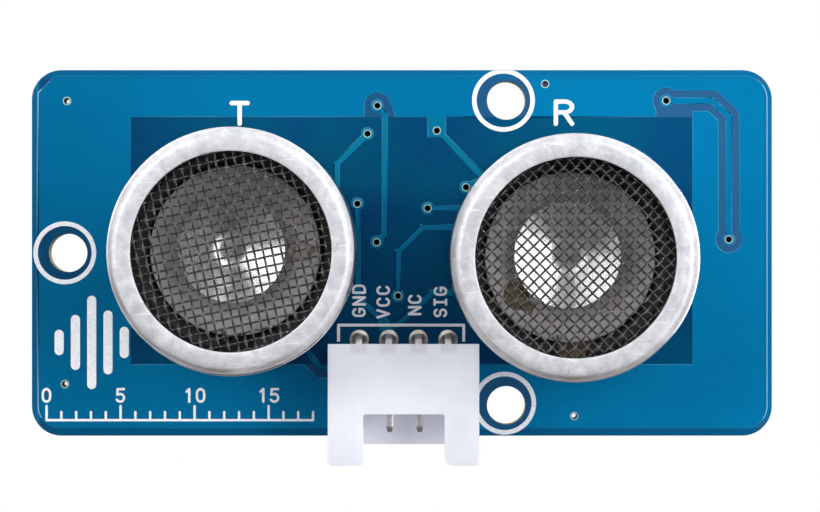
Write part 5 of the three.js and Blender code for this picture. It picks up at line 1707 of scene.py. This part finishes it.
# ------------------------------------------------------------------ stage, light and camera
def stage():
    bm = bmesh.new()
    bmesh.ops.create_circle(bm, cap_ends=True, radius=0.6, segments=96)
    me = bpy.data.meshes.new("floor")
    bm.to_mesh(me)
    bm.free()
    floor = bpy.data.objects.new("floor", me)
    scene.collection.objects.link(floor)
    floor.location = (0, 0, -0.030)
    m = Mat("pale_floor")
    m.set(Base_Color=(0.92, 0.92, 0.92, 1), Roughness=0.9, Specular=0.1)
    # fades into the surrounding white away from the object
    s = m.split()
    r = m.math("SQRT", m.math("ADD", m.math("MULTIPLY", s[0], s[0]), m.math("MULTIPLY", s[1], s[1])))
    fade = m.ramp(m.math("DIVIDE", r, 200.0), [(0.25, 1.0), (0.75, 0.0)], "EASE")
    tr = m.node("ShaderNodeBsdfTransparent")
    mx = m.node("ShaderNodeMixShader")
    m.link(fade, mx.inputs[0])
    m.link(tr.outputs[0], mx.inputs[1])
    m.link(m.b.outputs[0], mx.inputs[2])
    m.link(mx.outputs[0], m.out.inputs[0])
    me.materials.append(m.m)
    floor.visible_glossy = False
    floor.visible_diffuse = False


stage()


def world():
    w = bpy.data.worlds.new("studio")
    scene.world = w
    w.use_nodes = True
    t = w.node_tree
    t.nodes.clear()
    link = t.links.new

    def math_node(op, a, b=None, clamp=False):
        n = t.nodes.new("ShaderNodeMath")
        n.operation = op
        n.use_clamp = clamp
        for i, v in enumerate((a, b)):
            if v is None:
                continue
            if isinstance(v, (int, float)):
                n.inputs[i].default_value = v
            else:
                link(v, n.inputs[i])
        return n.outputs[0]

    def smooth(v, lo, hi, a, b):
        n = t.nodes.new("ShaderNodeMapRange")
        n.interpolation_type = "SMOOTHSTEP"
        link(v, n.inputs[0])
        for i, x in zip((1, 2, 3, 4), (lo, hi, a, b)):
            n.inputs[i].default_value = x
        return n.outputs[0]

    tc = t.nodes.new("ShaderNodeTexCoord")
    sep = t.nodes.new("ShaderNodeSeparateXYZ")
    link(tc.outputs["Generated"], sep.inputs[0])
    x, y, z = sep.outputs
    rad = math_node("SQRT", math_node("ADD", math_node("MULTIPLY", x, x), math_node("MULTIPLY", z, z)))
    safe = math_node("MAXIMUM", rad, 0.001)

    def softbox(azimuth, half, r0, r1, strength, edge=7.0):
        """A lamp seen between two distances off the Y axis and within an angle of the given azimuth (degrees)."""
        c, d = math.cos(math.radians(azimuth)), math.sin(math.radians(azimuth))
        dot = math_node("DIVIDE", math_node("ADD", math_node("MULTIPLY", x, c), math_node("MULTIPLY", z, d)), safe)
        side = smooth(dot, math.cos(math.radians(half + edge)), math.cos(math.radians(half - edge)), 0.0, 1.0)
        near = smooth(rad, math.sin(math.radians(r0 - 4)), math.sin(math.radians(r0 + 4)), 0.0, 1.0)
        far = smooth(rad, math.sin(math.radians(r1 - 4)), math.sin(math.radians(r1 + 4)), 1.0, 0.0)
        return math_node("MULTIPLY", math_node("MULTIPLY", side, near), math_node("MULTIPLY", far, strength))

    ambient = math_node("MAXIMUM", math_node("ADD", 0.50, math_node("MULTIPLY", z, 0.30)), 0.10)
    ambient = math_node("MULTIPLY", ambient, smooth(z, -0.85, -0.5, 0.6, 1.0))
    front = smooth(rad, 0.22, 0.5, 0.5, 1.0)
    rim = smooth(rad, 0.87, 0.96, 0.0, 0.62)
    level = math_node("ADD", math_node("MULTIPLY", ambient, front), rim)
    level = math_node("ADD", level, softbox(17.5, 52.5, 33, 56, 4.4))
    level = math_node("ADD", level, softbox(147.5, 34.0, 33, 56, 4.4))
    studio = t.nodes.new("ShaderNodeBackground")
    studio.inputs[0].default_value = (0.985, 0.99, 1.0, 1)
    link(level, studio.inputs[1])
    seen = t.nodes.new("ShaderNodeBackground")
    seen.inputs[0].default_value = (1, 1, 1, 1)
    seen.inputs[1].default_value = 1.0
    lp = t.nodes.new("ShaderNodeLightPath")
    mix = t.nodes.new("ShaderNodeMixShader")
    link(lp.outputs["Is Camera Ray"], mix.inputs[0])
    link(studio.outputs[0], mix.inputs[1])
    link(seen.outputs[0], mix.inputs[2])
    out = t.nodes.new("ShaderNodeOutputWorld")
    link(mix.outputs[0], out.inputs[0])


world()

cam = bpy.data.cameras.new("camera")
cam.lens = 139.7
cam.sensor_width = 36.0
cam.sensor_fit = "HORIZONTAL"
cam.clip_start = 0.005
cam.clip_end = 10
camera = bpy.data.objects.new("camera", cam)
camera.location = (0.00055, -0.215, -0.00021)
camera.rotation_euler = (math.pi / 2, 0, 0)
scene.collection.objects.link(camera)
scene.camera = camera
scene.view_settings.view_transform = "Standard"
scene.view_settings.look = "None"
scene.view_settings.exposure = 0.0
scene.view_settings.gamma = 1.0
